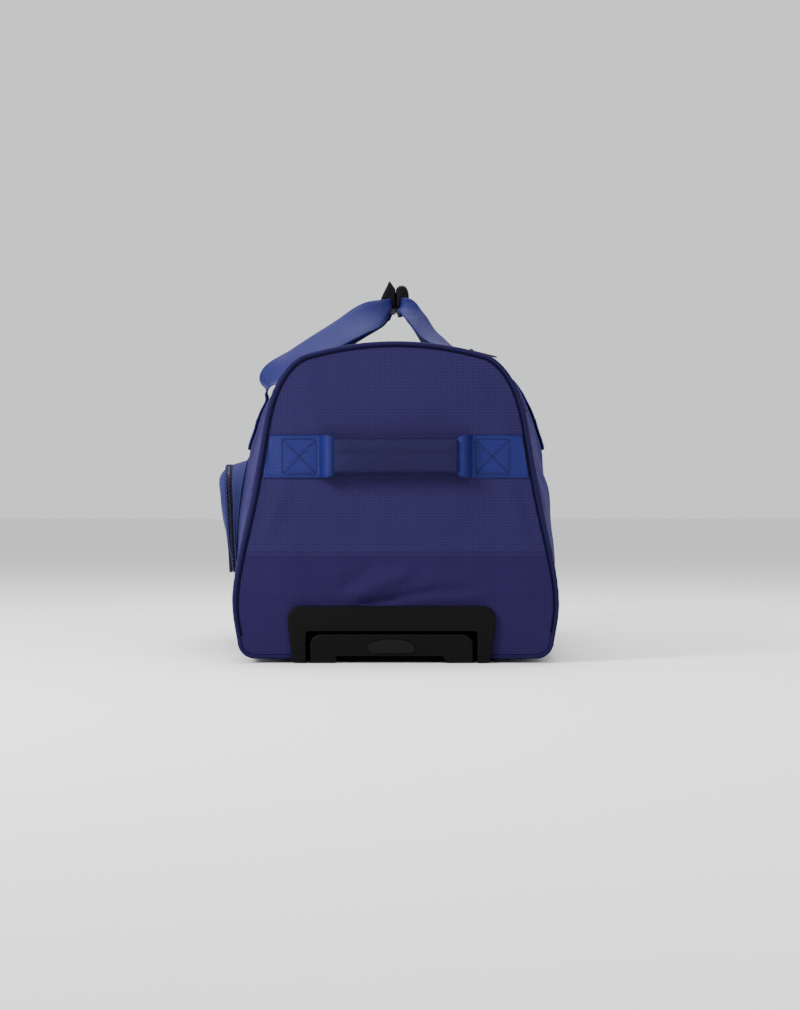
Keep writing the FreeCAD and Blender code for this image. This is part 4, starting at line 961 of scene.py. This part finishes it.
def build_end_panels():
    """The two end panels, cut to their seams, with the seam across the front one."""
    for name, side, nodes in (("front_panel", -1, ("front_end_panel", "front_lower_panel")),
                              ("rear_panel", 1, ("rear_end_panel",))):
        xs = np.linspace(-0.204, 0.204, 103)
        zs = np.concatenate([np.linspace(0.003, SEAM_Z, 32), np.linspace(SEAM_Z + 0.0005, 0.384, 66)])
        points = [Vector((x, side * PANEL_Y, z)) for z in zs for x in xs]
        ways = [Vector((0, side, 0))] * len(points)
        kept = trim(points, ways, grid_faces(len(zs), len(xs)), nodes_skin(*nodes))
        rim = edge_distance(points, kept)
        used, faces = renumbered(kept)
        verts, uvs = [], []
        for i in used:
            x, _, z = points[i]
            lift = panel_height(x, z, side) * ease(0.0, 0.03, rim[i])
            if side < 0 and z > SEAM_Z:
                lapped = 1 - ease(SEAM_Z + 0.0006, SEAM_Z + 0.02, z)
                lift += 0.0009 * lapped * ease(0.0, 0.012, rim[i])
            verts.append((x, side * (PANEL_Y + lift), z))
            uvs.append((x, z))
        obj = mesh_object(name, verts, faces, BAG_CLOTH, uvs)
        for poly in obj.data.polygons:
            poly.material_index = 1 if side < 0 and poly.center.z < SEAM_Z else 0
        orient(obj)
        thicken(obj, sizes().fabric, inner=2)
        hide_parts(*nodes)
        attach(obj, "root")
        PANELS[side] = Skin(obj)
        if side < 0:
            thread = stitches_across("front_panel_seam_stitches_0", PANELS[side], 0.19, side,
                                     SEAM_Z + 0.0035, 160)
            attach(thread, "root")


def edge_distance(points, faces):
    """Distance in the plane from each used point to the cut edge."""
    edges = {}
    for f in faces:
        for a, b in zip(f, f[1:] + f[:1]):
            key = (min(a, b), max(a, b))
            edges[key] = edges.get(key, 0) + 1
    rim = np.array([points[i] for i in {i for e, n in edges.items() if n == 1 for i in e}])
    out = {}
    for f in faces:
        for i in f:
            if i not in out:
                out[i] = float(np.min(np.linalg.norm(rim - np.array(points[i]), axis=1)))
    return out


def build_piping():
    """A bound cord round each end panel."""
    r = sizes().piping
    for name, side in (("front_piping", -1), ("rear_piping", 1)):
        skin = nodes_skin(name)
        y = side * PIPING_Y
        ring = walk(ring_at(skin, y), 420, closed=True)
        ahead = np.roll(ring, -1, axis=0) - np.roll(ring, 1, axis=0)
        ahead /= np.linalg.norm(ahead, axis=1, keepdims=True)
        inward = np.stack([-ahead[:, 1], ahead[:, 0]], axis=1)
        if np.sum(inward * (np.array([0, CENTRE_Z]) - ring)) < 0:
            inward = -inward
        centre = ring + inward * r
        here = [skin.tree.find_nearest(Vector((x, y, z)))[3] < r * 1.25 for x, z in centre]
        for k, run in enumerate(closed_runs(here)):
            whole = len(run) == len(ring)
            path = [(x, y - side * 0.0002, z) for x, z in centre[run]]
            cord = tube(name + "_cord_%d" % k, path, r * 1.02, "twill_piping", 12, closed=whole)
            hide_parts(name)
            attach(cord, "root")
            build_binding_seam_shade(name + "_binding_seam_shade_%d" % k, side, ring[run] + inward[run] * 2 * r, inward[run], whole)


def build_binding_seam_shade(name, side, line, inward, whole):
    """The edge of the binding along one run of the piping, where it lies on the panel: a near-black strip
    that is partly real binding and partly painted shade of the seam.
    """
    n = len(line)
    verts = [(x, side * (PANEL_Y + 0.0002), z) for x, z in line - inward * 0.0016]
    verts += [(x, side * (PANEL_Y + 0.0009), z) for x, z in line + inward * 0.0014]
    faces = [(i, (i + 1) % n, n + (i + 1) % n, n + i) for i in range(n if whole else n - 1)]
    faces = [f for f in faces if verts[f[0]][2] > BINDING_SHADE_FOOT]
    if not faces:
        return
    uvs = [(i * 0.0028, v) for v in (0.0, 0.003) for i in range(n)]
    edge = mesh_object(name, verts, faces, ["twill_binding_seam_shade"], uvs)
    orient(edge)
    thicken(edge, 0.0008)
    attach(edge, "root")


def closed_runs(here):
    """Runs of neighbouring true places round a ring, as lists of indices."""
    n = len(here)
    if all(here):
        return [list(range(n))]
    first = next(i for i in range(n) if not here[i])
    runs, run = [], []
    for k in range(1, n + 1):
        i = (first + k) % n
        if here[i]:
            run.append(i)
        elif run:
            runs.append(run)
            run = []
    return [r for r in runs if len(r) > 3]


# ------------------------------------------------------------------ webbing
def strap_mesh(name, centres, acrosses, widths, thickness):
    """Webbing along a path: a closed flat section with soft edges. acrosses point along its width."""
    half = [(-0.5, -0.2), (-0.5, 0.2), (-0.485, 0.5), (-0.3, 0.5), (-0.1, 0.5), (0.1, 0.5), (0.3, 0.5),
            (0.485, 0.5)]
    section = half + [(-u, -v) for u, v in half]
    centres = np.asarray(centres, float)
    ahead = np.gradient(centres, axis=0)
    ahead /= np.linalg.norm(ahead, axis=1, keepdims=True)
    run = distances(centres)
    thickness = np.broadcast_to(thickness, len(centres))
    verts, uvs = [], []
    for i, centre in enumerate(centres):
        across = acrosses[i] - ahead[i] * np.dot(acrosses[i], ahead[i])
        across /= np.linalg.norm(across)
        out = np.cross(across, ahead[i])
        for u, v in section:
            verts.append(centre + across * (u * widths[i]) + out * (v * thickness[i]))
            uvs.append((run[i], u * widths[i] + (0.2 if v < 0 else 0)))
    obj = mesh_object(name, verts, capped_faces(len(centres), len(section)), ["polypropylene_webbing"], uvs)
    orient(obj)
    return obj


def box_stitching(name, place, half_u, half_v):
    """A sewn box with its cross; place(u, v) gives a point on the webbing and the way out there."""
    a, b, c, d = (-half_u, -half_v), (half_u, -half_v), (half_u, half_v), (-half_u, half_v)
    rows = []
    for k, (start, end) in enumerate(((a, b), (b, c), (c, d), (d, a), (a, c), (b, d))):
        line = [place(start[0] + (end[0] - start[0]) * t, start[1] + (end[1] - start[1]) * t)
                for t in np.linspace(0, 1, 24)]
        rows.append(stitch_row("%s_%d" % (name, k), *zip(*line), width=0.0015, height=0.0008))
    return join(name, rows)


RIM_Y = 0.4168                   # a level within the end panels' thickness
PIPED = 0.0030                   # how much of the panel's rim the binding covers
BAND_HEIGHT = 0.050
BAND_INNER = 0.0895              # where each half of a band turns out into its loop


def grab_band(side, hand, rim):
    """One half of a band sewn across an end panel: its webbing, its stitches and how far out it lies."""
    t = sizes().webbing
    rows = []
    for x in np.linspace(BAND_INNER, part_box("front_grab_band")[1].x - 0.001, 16) * hand:
        place, _ = PANELS[side].hit((x, side * OUTSIDE_Y, BAND_Z), (x, 0, BAND_Z))
        y = place.y if place is not None else rows[-1][1] - side * t / 2
        rows.append((x, y + side * t / 2, BAND_Z))
    band = strap_mesh("band", rows, [UP] * len(rows), [BAND_HEIGHT] * len(rows), t)
    for v in band.data.vertices:
        place, _ = rim.hit((hand * OUTSIDE_X, side * RIM_Y, v.co.z), (0, side * RIM_Y, v.co.z))
        v.co.x = hand * min(abs(v.co.x), abs(place.x) - PIPED)

    def on_band(u, v):
        x = 0.1135 + u
        y = np.interp(x, [abs(row[0]) for row in rows], [row[1] + side * t / 2 for row in rows])
        return np.array((hand * x, y, BAND_Z + v)), np.array((0, side, 0.0))

    bar = [on_band(-0.0228, v) for v in np.linspace(-0.0205, 0.0205, 24)]
    sewn = [box_stitching("box", on_band, 0.0200, 0.0205),
            stitch_row("bar", *zip(*bar), length=0.0024, width=0.0018)]
    return band, sewn, rows[0][1]


def grab_loop(side, hand, y_panel, y_grip):
    """The webbing that turns out of a band, narrows and runs into the padded grip."""
    grip_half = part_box("front_grab_grip")[1].x
    path = smooth_curve([(hand * x, y, BAND_Z) for x, y in (
        (0.0945, y_panel + side * 0.0003), (BAND_INNER, y_panel + side * 0.0012),
        (0.0868, y_panel + side * 0.0062), (0.0838, y_grip - side * 0.0030), (0.0785, y_grip + side * 0.0012),
        (grip_half - 0.001, y_grip), (grip_half - 0.006, y_grip - side * 0.0006),
    )], 30)
    full = [math.sqrt(1 - max(0.0, min(1.0, (0.0830 - abs(p[0])) / 0.0120)) ** 2) for p in path]
    return strap_mesh("loop", path, [UP] * 30, [0.0350 + 0.0150 * k for k in full], sizes().webbing)


def build_grab_handles():
    """Bands sewn across each end panel, with the loops that carry the padded grip."""
    for side, word in ((-1, "front"), (1, "rear")):
        low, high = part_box(word + "_grab_grip")
        grip_y = (low.y + high.y) / 2
        rim = nodes_skin(word + "_end_panel")
        bands, loops, threads = [], [], []
        for hand in (-1, 1):
            band, sewn, y_panel = grab_band(side, hand, rim)
            bands.append(band)
            threads += sewn
            loops.append(grab_loop(side, hand, y_panel, grip_y - side * 0.0012))
        band = join_uv(word + "_grab_bands", bands)
        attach(band, "root")
        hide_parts(word + "_grab_band")
        stitches = join(word + "_grab_stitches", threads)
        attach(stitches, "root")
        loop = join_uv(word + "_grab_loop_webbing", loops)
        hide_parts(word + "_grab_loops")
        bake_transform(loop)
        build_grab_grip(word, side)


def build_grab_grip(word, side):
    """The padded fabric sleeve of one grab handle, with its lengthwise stitching."""
    low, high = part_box(word + "_grab_grip")
    middle = (low + high) / 2
    grip = remeshed(word + "_grab_pad", word + "_grab_grip", 0.0030)
    for v in grip.data.vertices:
        v.co.z = middle.z + (v.co.z - middle.z) * 0.93
    inflate(grip, [float(abs(v.co.x) > high.x - 0.004) for v in grip.data.vertices])
    seam_z = BAND_Z + 0.0030
    for v in grip.data.vertices:
        x, z = v.co.x, v.co.z
        if (v.co.y - middle.y) * side > 0:
            groove = math.exp(-((z - seam_z) / 0.0022) ** 2)
            ripple = noise.noise(Vector((x * 60, 2, z * 90)))
            v.co.y -= side * (0.0016 * groove - 0.0007 * ripple)
        v.co.z += 0.0010 * noise.noise(Vector((x * 28, 7, side))) * (1 if z > middle.z else -1)
    finish_soft(grip, "padded_polyester")
    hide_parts(word + "_grab_grip")
    thread = stitches_across(word + "_grab_pad_stitches", Skin(grip), high.x - 0.003, side, seam_z, 80)
    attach(grip, word + "_grab_body")
    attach(thread, word + "_grab_body")


# ------------------------------------------------------------------ carry handle
# each strap from a foot to the middle of its wrap: x, y, z, then the level and the upright share of the
# webbing's width, its share of the full width and its layers
HANDLE_WAYS = {
    "left_carry_strap": (
        (0.1660, 0.150, 0.3190, 1, 0.1, 1, 1), (0.1655, 0.150, 0.331, 0.9, 0.45, 1, 1),
        (0.1620, 0.149, 0.343, 0.7, 0.7, 1, 1), (0.1485, 0.143, 0.3575, 0.65, 0.75, 1, 1),
        (0.1215, 0.131, 0.3785, 0.8, 0.6, 1, 1), (0.089, 0.116, 0.399, 0.8, 0.65, 1, 1),
        (0.055, 0.099, 0.420, 0.75, 0.7, 1, 1), (0.033, 0.084, 0.434, 0.6, 0.8, 0.86, 1.2),
        (0.019, 0.071, 0.444, 0.4, 0.9, 0.52, 1.6), (0.009, 0.060, 0.4515, 0.2, 1, 0.24, 2.4),
        (0.009, 0.040, 0.456, 0, 1, 0.30, 2.4), (0.009, 0.000, 0.458, 0, 1, 0.40, 2),
    ),
    "right_carry_strap": (
        (0.1655, 0.150, 0.3190, 1, 0, 1, 1), (0.1590, 0.149, 0.331, 1, 0, 1, 1),
        (0.1480, 0.146, 0.345, 1, 0, 1, 1), (0.1270, 0.137, 0.3605, 1, 0, 1, 1),
        (0.096, 0.121, 0.374, 1, 0.1, 1, 1), (0.066, 0.108, 0.390, 1, 0.25, 1, 1),
        (0.044, 0.096, 0.407, 1, 0.5, 1, 1), (0.026, 0.079, 0.431, 0.9, 0.6, 0.86, 1.2),
        (0.0145, 0.067, 0.4455, 0.8, 0.7, 0.6, 1.6), (0.008, 0.056, 0.452, 0.4, 1, 0.30, 2.2),
        (0.007, 0.030, 0.456, 0, 1, 0.36, 2), (0.007, 0.000, 0.457, 0, 1, 0.40, 2),
    ),
}
STRAP_WIDTH = 0.050
STRAP_OFF = 0.0017               # from the cloth to the middle of the webbing that lies on it
FOOT_RISE = (0.2565, 0.268, 0.280, 0.2925, 0.3055)
REAR_TURN = 0.3                  # the rear leg of each strap lies flatter than the front one
WRAP_Z = 0.460                   # middle of the wrap's height


def build_carry_handle():
    """Both carry straps from their sewn feet to the wrap, and the two halves of the wrap."""
    sides = Skin(bpy.data.objects["body_fabric"])
    for node, way in HANDLE_WAYS.items():
        sign = -1 if node.startswith("left") else 1
        half = []
        for x, y, z, *rest in [(0, FOOT_Y, z, 1, 0, 1, 1) for z in FOOT_RISE] + list(way):
            place, _ = sides.hit((sign * OUTSIDE_X, -y, z), (0, -y, z))
            if place is not None:
                x = max(x, abs(place.x) + STRAP_OFF)
            half.append((sign * x, -y, z, 0, *rest))
        other = [(x, -y, z, 0, flat, -upright * (REAR_TURN if y < -0.062 else 1), share, layers)
                 for x, y, z, _, flat, upright, share, layers in half[-2::-1]]
        path = smooth_curve(half + other, 220)
        twist = path[:, 3:6].copy()
        for i in range(1, len(twist)):
            if np.dot(twist[i], twist[i - 1]) < 0:
                twist[i] = -twist[i]
        strap = strap_mesh(node + "_webbing", path[:, :3], twist, STRAP_WIDTH * path[:, 6],
                           1.1 * sizes().webbing * path[:, 7])
        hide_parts(node)
        if sign < 0:
            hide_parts("strap_patches")
        skin = Skin(strap)
        for end, word in ((-1, "front"), (1, "rear")):
            def on_foot(u, v, sign=sign, end=end, skin=skin):
                y, z = end * FOOT_Y + u, 0.2775 + v
                return skin.hit((sign * OUTSIDE_X, y, z), (0, y, z))

            box = box_stitching("%s_foot_stitches_%s" % (node, word), on_foot, 0.0205, 0.0175)
            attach(box, "root")
        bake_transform(strap)
    build_wrap("left", LEFT_WRAP, -0.0085)
    build_wrap("right", RIGHT_WRAP, 0.0065)


# section of each half of the wrap (x, height): the left one peaked on top, the right one rolled
LEFT_WRAP = ((-0.0010, 0.4700), (-0.0052, 0.4765), (-0.0090, 0.4815), (-0.0122, 0.4750), (-0.0165, 0.4660),
             (-0.0198, 0.4570), (-0.0172, 0.4490), (-0.0095, 0.4455), (-0.0012, 0.4465), (-0.0009, 0.4580))
RIGHT_WRAP = ((-0.0003, 0.4705), (0.0050, 0.4752), (0.0120, 0.4738), (0.0160, 0.4660), (0.0157, 0.4555),
              (0.0110, 0.4480), (0.0035, 0.4450), (-0.0001, 0.4470), (-0.0003, 0.4580))


def build_wrap(word, section, middle_x):
    """One padded half of the wrap, closed round its own strap."""
    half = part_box(word + "_grip_wrap")[1].y
    loop = smooth_curve(section + (section[0],), 49)[:-1]
    run = distances(loop)
    centre = np.array((middle_x, WRAP_Z))
    rows = 45
    verts, uvs = [], []
    for t in np.linspace(-1, 1, rows):
        y = half * t
        lip = 1 - 0.16 * max(0.0, (abs(t) - 0.93) / 0.07) ** 2
        for k, p in enumerate(loop):
            away = (p - centre) / np.linalg.norm(p - centre)
            lump = 0.0007 * noise.noise(Vector((y * 45, p[0] * 70, p[1] * 70)))
            gather = 0.0004 * math.sin(y * 420 + 3 * k / len(loop)) * abs(t) ** 3
            x, z = centre + (p - centre) * lip + away * (lump + gather)
            verts.append((x, y, z))
            uvs.append((y, run[k]))
    count = len(loop)
    wrap = mesh_object(word + "_padded_wrap", verts, capped_faces(rows, count), ["vinyl_wrap"], uvs)
    orient(wrap, (middle_x, 0, WRAP_Z))
    bevel(wrap, 0.0008)
    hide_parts(word + "_grip_wrap")
    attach(wrap, word + "_handle_body")
    for end, row in (("front", 2), ("rear", rows - 3)):
        ring = verts[row * count:(row + 1) * count]
        out = [Vector((x - middle_x, 0, z - WRAP_Z)).normalized() for x, _, z in ring]
        sewn = stitch_row("%s_wrap_stitches_%s" % (word, end), ring, out)
        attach(sewn, word + "_handle_body")


# ------------------------------------------------------------------ side pocket
POCKET_CLOTH = ("pocket_polyester", "coated_lining")
SEWN_DEPTH = 0.002               # how far the pocket's cloth runs in under the bag's surface
POCKET_SPINE = 0.115             # half length of the line where the cover's mesh closes
POCKET_FALL = 0.0075             # how much lower the pocket's top is at the zip than where it is sewn on


def pocket_outline(count, fall=0.0):
    """The pocket's outline (y, z) from its front lower corner, up and over, to its rear lower corner."""
    half, top, r = POCKET_HALF, POCKET_TOP, POCKET_R
    front = [(-half, POCKET_LOW)] + [(-half + r - r * math.cos(a), top - r + r * math.sin(a))
                                     for a in np.linspace(0, math.pi / 2, 16)]
    line = walk(front + [(-y, z) for y, z in reversed(front)], count)
    line[:, 1] -= [fall * ease(0.185, POCKET_TOP, z) for z in line[:, 1]]
    return line


def pocket_zip_x(z):
    """Middle of the pocket's zip, which leans out a little upwards."""
    return -0.2075 - (z - POCKET_LOW) * (0.0055 / 0.105)


def pocket_face_x(z):
    """The pocket's flat face, leaning out by 19 mm until 119 mm above its foot."""
    return -0.2078 - min(z - POCKET_LOW, 0.119) * (0.0192 / 0.119)


def build_pocket():
    """The side pocket: a gusset sewn to the bag, a floor, a slack cover that opens, and the zip between."""
    count, levels = 190, 9
    at_bag = pocket_outline(count)
    at_zip = pocket_outline(count, POCKET_FALL)
    side = nodes_skin("left_side_panel")
    run = distances(at_bag)
    verts, uvs, seam = [], [], []
    for k in range(count):
        place, _ = side.hit((-OUTSIDE_X, *at_bag[k]), (0, *at_bag[k]))
        base = place.x + SEWN_DEPTH
        seam.append((place.x - 0.0002, *at_bag[k]))
        end = pocket_zip_x(at_zip[k][1]) + 0.0042
        for t in np.linspace(0, 1, levels):
            y, z = at_bag[k] * (1 - t) + at_zip[k] * t
            dent = 0.0022 * math.sin(math.pi * t) * (0.5 + noise.noise(Vector((y * 16, 1, z * 16))))
            inward = np.array([0.0, 0.173]) - np.array([y, z])
            inward /= np.linalg.norm(inward)
            verts.append((base + (end - base) * t, y + inward[0] * dent, z + inward[1] * dent))
            uvs.append((run[k], t * abs(end - base)))
    gusset = mesh_object("pocket_gusset_cloth", verts, grid_faces(count, levels), POCKET_CLOTH, uvs)
    orient(gusset, (-0.20, 0, 0.17))
    thicken(gusset, 0.0018, inner=1)
    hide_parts("pocket_gusset")
    welt = tube("pocket_welt", seam, 0.0015, "twill_binding_seam_shade", 8)
    for obj in (gusset, pocket_floor(side), welt):
        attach(obj, "root")
    build_pocket_cover()
    build_pocket_zip()


def pocket_floor(side):
    """The cloth that closes the pocket below, from the bag's side to the cover."""
    verts, uvs = [], []
    for y in np.linspace(-POCKET_HALF, POCKET_HALF, 60):
        place, _ = side.hit((-OUTSIDE_X, y, POCKET_LOW + 0.001), (0, y, POCKET_LOW + 0.001))
        base = place.x + SEWN_DEPTH
        for t in (0.0, 0.5, 1.0):
            verts.append((base + (-0.2068 - base) * t, y, POCKET_LOW + 0.0008 * math.sin(y * 60)))
            uvs.append((y, t * 0.02))
    floor = mesh_object("pocket_floor_cloth", verts, grid_faces(60, 3), ["pocket_polyester"], uvs)
    orient(floor, (-0.19, 0, 0.14))
    thicken(floor, 0.0016)
    return floor


def build_pocket_cover():
    """The pocket's face: sewn down below its fold, rounded over to the zip round its other sides."""
    over = pocket_outline(200, POCKET_FALL)
    corner = np.linspace(POCKET_HALF, POCKET_SPINE, 10)[1:]
    under = [*corner, *[y for y in over[::-1, 0] if abs(y) < POCKET_SPINE], *(-corner[::-1])]
    line = [*over, *[np.array((y, POCKET_LOW)) for y in under]]
    rings = 26
    verts = []
    for y, z in line:
        target = np.array([y, z])
        spine = np.array([max(-POCKET_SPINE, min(POCKET_SPINE, y)), 0.158])
        edge_r = 0.005 + 0.017 * ease(0.12, 0.235, z)
        if z < POCKET_LOW + 0.0001:
            start = pocket_face_x(z) + 0.0008
        else:
            start = max(pocket_face_x(z) + 0.0004, pocket_zip_x(z) - 0.0042)
        for j in range(rings):
            q = target + (spine - target) * (j / (rings - 1)) ** 1.35
            d = np.linalg.norm(q - target)
            roll = edge_r * (1 - math.sqrt(max(0.0, 1 - (1 - min(1, d / edge_r)) ** 2)))
            free = ease(0, 0.035, d)
            face = pocket_face_x(q[1]) + roll
            x = start if j == 0 else face * free + min(start, face) * (1 - free)
            fold = 0.0030 * noise.noise(Vector((q[0] * 14, 9, q[1] * 20))) * free
            crease = 0.0030 * free * (1 - abs(noise.noise(Vector((q[0] * 8, 3, q[1] * 14 + q[0] * 6))))) ** 5
            verts.append((x - 0.0045 * free - fold + crease, q[0], q[1]))
    count = len(line)
    faces = []
    for i in range(count):
        here, there = i * rings, (i + 1) % count * rings
        faces += [(here + j, here + j + 1, there + j + 1, there + j) for j in range(rings - 1)]
    cover = mesh_object("pocket_cover", verts, faces, POCKET_CLOTH, [v[1:] for v in verts])
    merge_points(cover, 0.0004)
    orient(cover, (-0.19, 0, 0.17))
    thicken(cover, 0.0018, inner=1)
    apply_modifiers(cover)
    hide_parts("pocket_door")
    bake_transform(cover)


def build_pocket_zip():
    """Tape and coil round the pocket, one half on the gusset and one half on the cover."""
    tooth = sizes().tooth
    line = pocket_outline(260, POCKET_FALL)
    run = distances(line)
    centre = np.array([0.0, 0.15])
    inward = centre - line
    inward /= np.linalg.norm(inward, axis=1, keepdims=True)
    places = walk(line, int(run[-1] / tooth))
    for name, sign, node in (("pocket_inner_zip", 1, "pocket_gusset_zip_row"),
                             ("pocket_outer_zip", -1, "pocket_door_zip_row")):
        verts, uvs = [], []
        for (y, z), n, u in zip(line, inward, run):
            for w in (0.0006, 0.0050):
                verts.append((pocket_zip_x(z) + sign * w, y + n[0] * 0.0012, z + n[1] * 0.0012))
                uvs.append((u, w))
        tape = mesh_object(name + "_tape", verts, grid_faces(len(line), 2), ["zip_tape"], uvs)
        orient(tape, (-0.21, 0, 0.17))
        thicken(tape, 0.0006)

        def at(i, a, b, lift, sign=sign):
            ahead = places[i + 1] - places[i - 1]
            ahead /= np.linalg.norm(ahead)
            out = places[i] - centre
            out /= np.linalg.norm(out)
            y, z = places[i] + ahead * (a * tooth * 0.42) + out * (-0.0012 + 0.0016 * lift)
            return pocket_zip_x(z) + sign * (-0.0008 + 0.0028 * b), y, z

        coil = zip_teeth(name + "_coil", range(1 + (sign > 0), len(places) - 1, 2), at)
        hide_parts(node)
        for obj in (tape, coil):
            apply_modifiers(obj)
            if sign > 0:
                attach(obj, "root")
            else:
                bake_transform(obj)


# ------------------------------------------------------------------ stage
def build_stage():
    """A pale floor, soft lights and the camera at the bag's end."""
    far = 30.0
    corners = [(-far, -far, 0), (far, -far, 0), (far, far, 0), (-far, far, 0)]
    floor = mesh_object("floor", corners, [(0, 1, 2, 3)], ["floor_paper"], smooth=False)
    world = bpy.data.worlds.new("studio")
    bpy.context.scene.world = world
    world.use_nodes = True
    sky = world.node_tree.nodes["Background"]
    sky.inputs["Color"].default_value = (0.97, 0.98, 1.0, 1.0)
    sky.inputs["Strength"].default_value = 1.0
    for name, place, target, size, power in (
        ("key", (-1.6, -1.7, 1.5), (0, -0.2, 0.2), 0.9, 92.0),
        ("fill", (1.2, -2.6, 1.4), (0, -0.2, 0.2), 1.8, 18.0),
        ("overhead", (0.0, 0.6, 2.6), (0, 0, 0.2), 2.0, 90.0),
    ):
        light = bpy.data.lights.new(name, "AREA")
        light.shape = "DISK"
        light.size = size
        light.energy = power
        lamp = linked(name, light)
        lamp.location = place
        lamp.rotation_euler = (Vector(target) - Vector(place)).to_track_quat("-Z", "Y").to_euler()
    camera = bpy.data.cameras.new("camera")
    camera.lens = 90.9
    camera.sensor_width = 36.0
    camera.sensor_fit = "AUTO"
    camera.clip_end = 100.0
    view = linked("camera", camera)
    view.location = (0.005, -3.419, 0.186)
    view.rotation_euler = (math.radians(90), 0, 0)
    bpy.context.scene.camera = view


# ------------------------------------------------------------------ operators
class BAG_OT_materials(bpy.types.Operator):
    """Makes the finishes and puts them on the rigid parts"""
    bl_idname = "bag.materials"
    bl_label = "Finishes"

    def execute(self, context):
        make_materials()
        dress_hard_parts()
        return {"FINISHED"}


class BAG_OT_shell(bpy.types.Operator):
    """Slack fabric of the body and of the top flap"""
    bl_idname = "bag.shell"
    bl_label = "Body and flap"

    def execute(self, context):
        build_shell()
        return {"FINISHED"}


class BAG_OT_zips(bpy.types.Operator):
    """Tape, coil and hem of the long zip"""
    bl_idname = "bag.zips"
    bl_label = "Long zip"

    def execute(self, context):
        build_zips()
        return {"FINISHED"}


class BAG_OT_end_panels(bpy.types.Operator):
    """End panels with their seam"""
    bl_idname = "bag.end_panels"
    bl_label = "End panels"

    def execute(self, context):
        build_end_panels()
        return {"FINISHED"}


class BAG_OT_piping(bpy.types.Operator):
    """Piping round both end panels"""
    bl_idname = "bag.piping"
    bl_label = "Piping"

    def execute(self, context):
        build_piping()
        return {"FINISHED"}


class BAG_OT_pocket(bpy.types.Operator):
    """Side pocket with its zip"""
    bl_idname = "bag.pocket"
    bl_label = "Side pocket"

    def execute(self, context):
        build_pocket()
        return {"FINISHED"}


class BAG_OT_grab_handles(bpy.types.Operator):
    """Grab handles on both end panels"""
    bl_idname = "bag.grab_handles"
    bl_label = "Grab handles"

    def execute(self, context):
        build_grab_handles()
        return {"FINISHED"}


class BAG_OT_carry_handle(bpy.types.Operator):
    """Carry straps and their padded wrap"""
    bl_idname = "bag.carry_handle"
    bl_label = "Carry handle"

    def execute(self, context):
        build_carry_handle()
        return {"FINISHED"}


class BAG_OT_stage(bpy.types.Operator):
    """Floor, lights and camera"""
    bl_idname = "bag.stage"
    bl_label = "Stage"

    def execute(self, context):
        build_stage()
        return {"FINISHED"}


OPERATORS = (BAG_OT_materials, BAG_OT_shell, BAG_OT_zips, BAG_OT_end_panels, BAG_OT_piping, BAG_OT_pocket,
             BAG_OT_grab_handles, BAG_OT_carry_handle, BAG_OT_stage)


class BAG_PT_panel(bpy.types.Panel):
    """Lists the bag's pieces and settings"""
    bl_idname = "BAG_PT_panel"
    bl_label = "Gear Bag"
    bl_space_type = "VIEW_3D"
    bl_region_type = "UI"
    bl_category = "Gear Bag"

    def draw(self, context):
        for group in (context.scene.bag_sizes, context.scene.bag_colours):
            for key in group.__annotations__:
                self.layout.prop(group, key)
        for operator in OPERATORS:
            self.layout.operator(operator.bl_idname)


CLASSES = (BagSizes, BagColours, *OPERATORS, BAG_PT_panel)


def register():
    for item in CLASSES:
        bpy.utils.register_class(item)
    bpy.types.Scene.bag_sizes = bpy.props.PointerProperty(type=BagSizes)
    bpy.types.Scene.bag_colours = bpy.props.PointerProperty(type=BagColours)


def unregister():
    del bpy.types.Scene.bag_sizes
    del bpy.types.Scene.bag_colours
    for item in reversed(CLASSES):
        bpy.utils.unregister_class(item)


def main():
    register()
    for operator in OPERATORS:
        group, name = operator.bl_idname.split(".")
        getattr(getattr(bpy.ops, group), name)()
    bpy.context.view_layer.update()


if __name__ == "__main__":
    main()
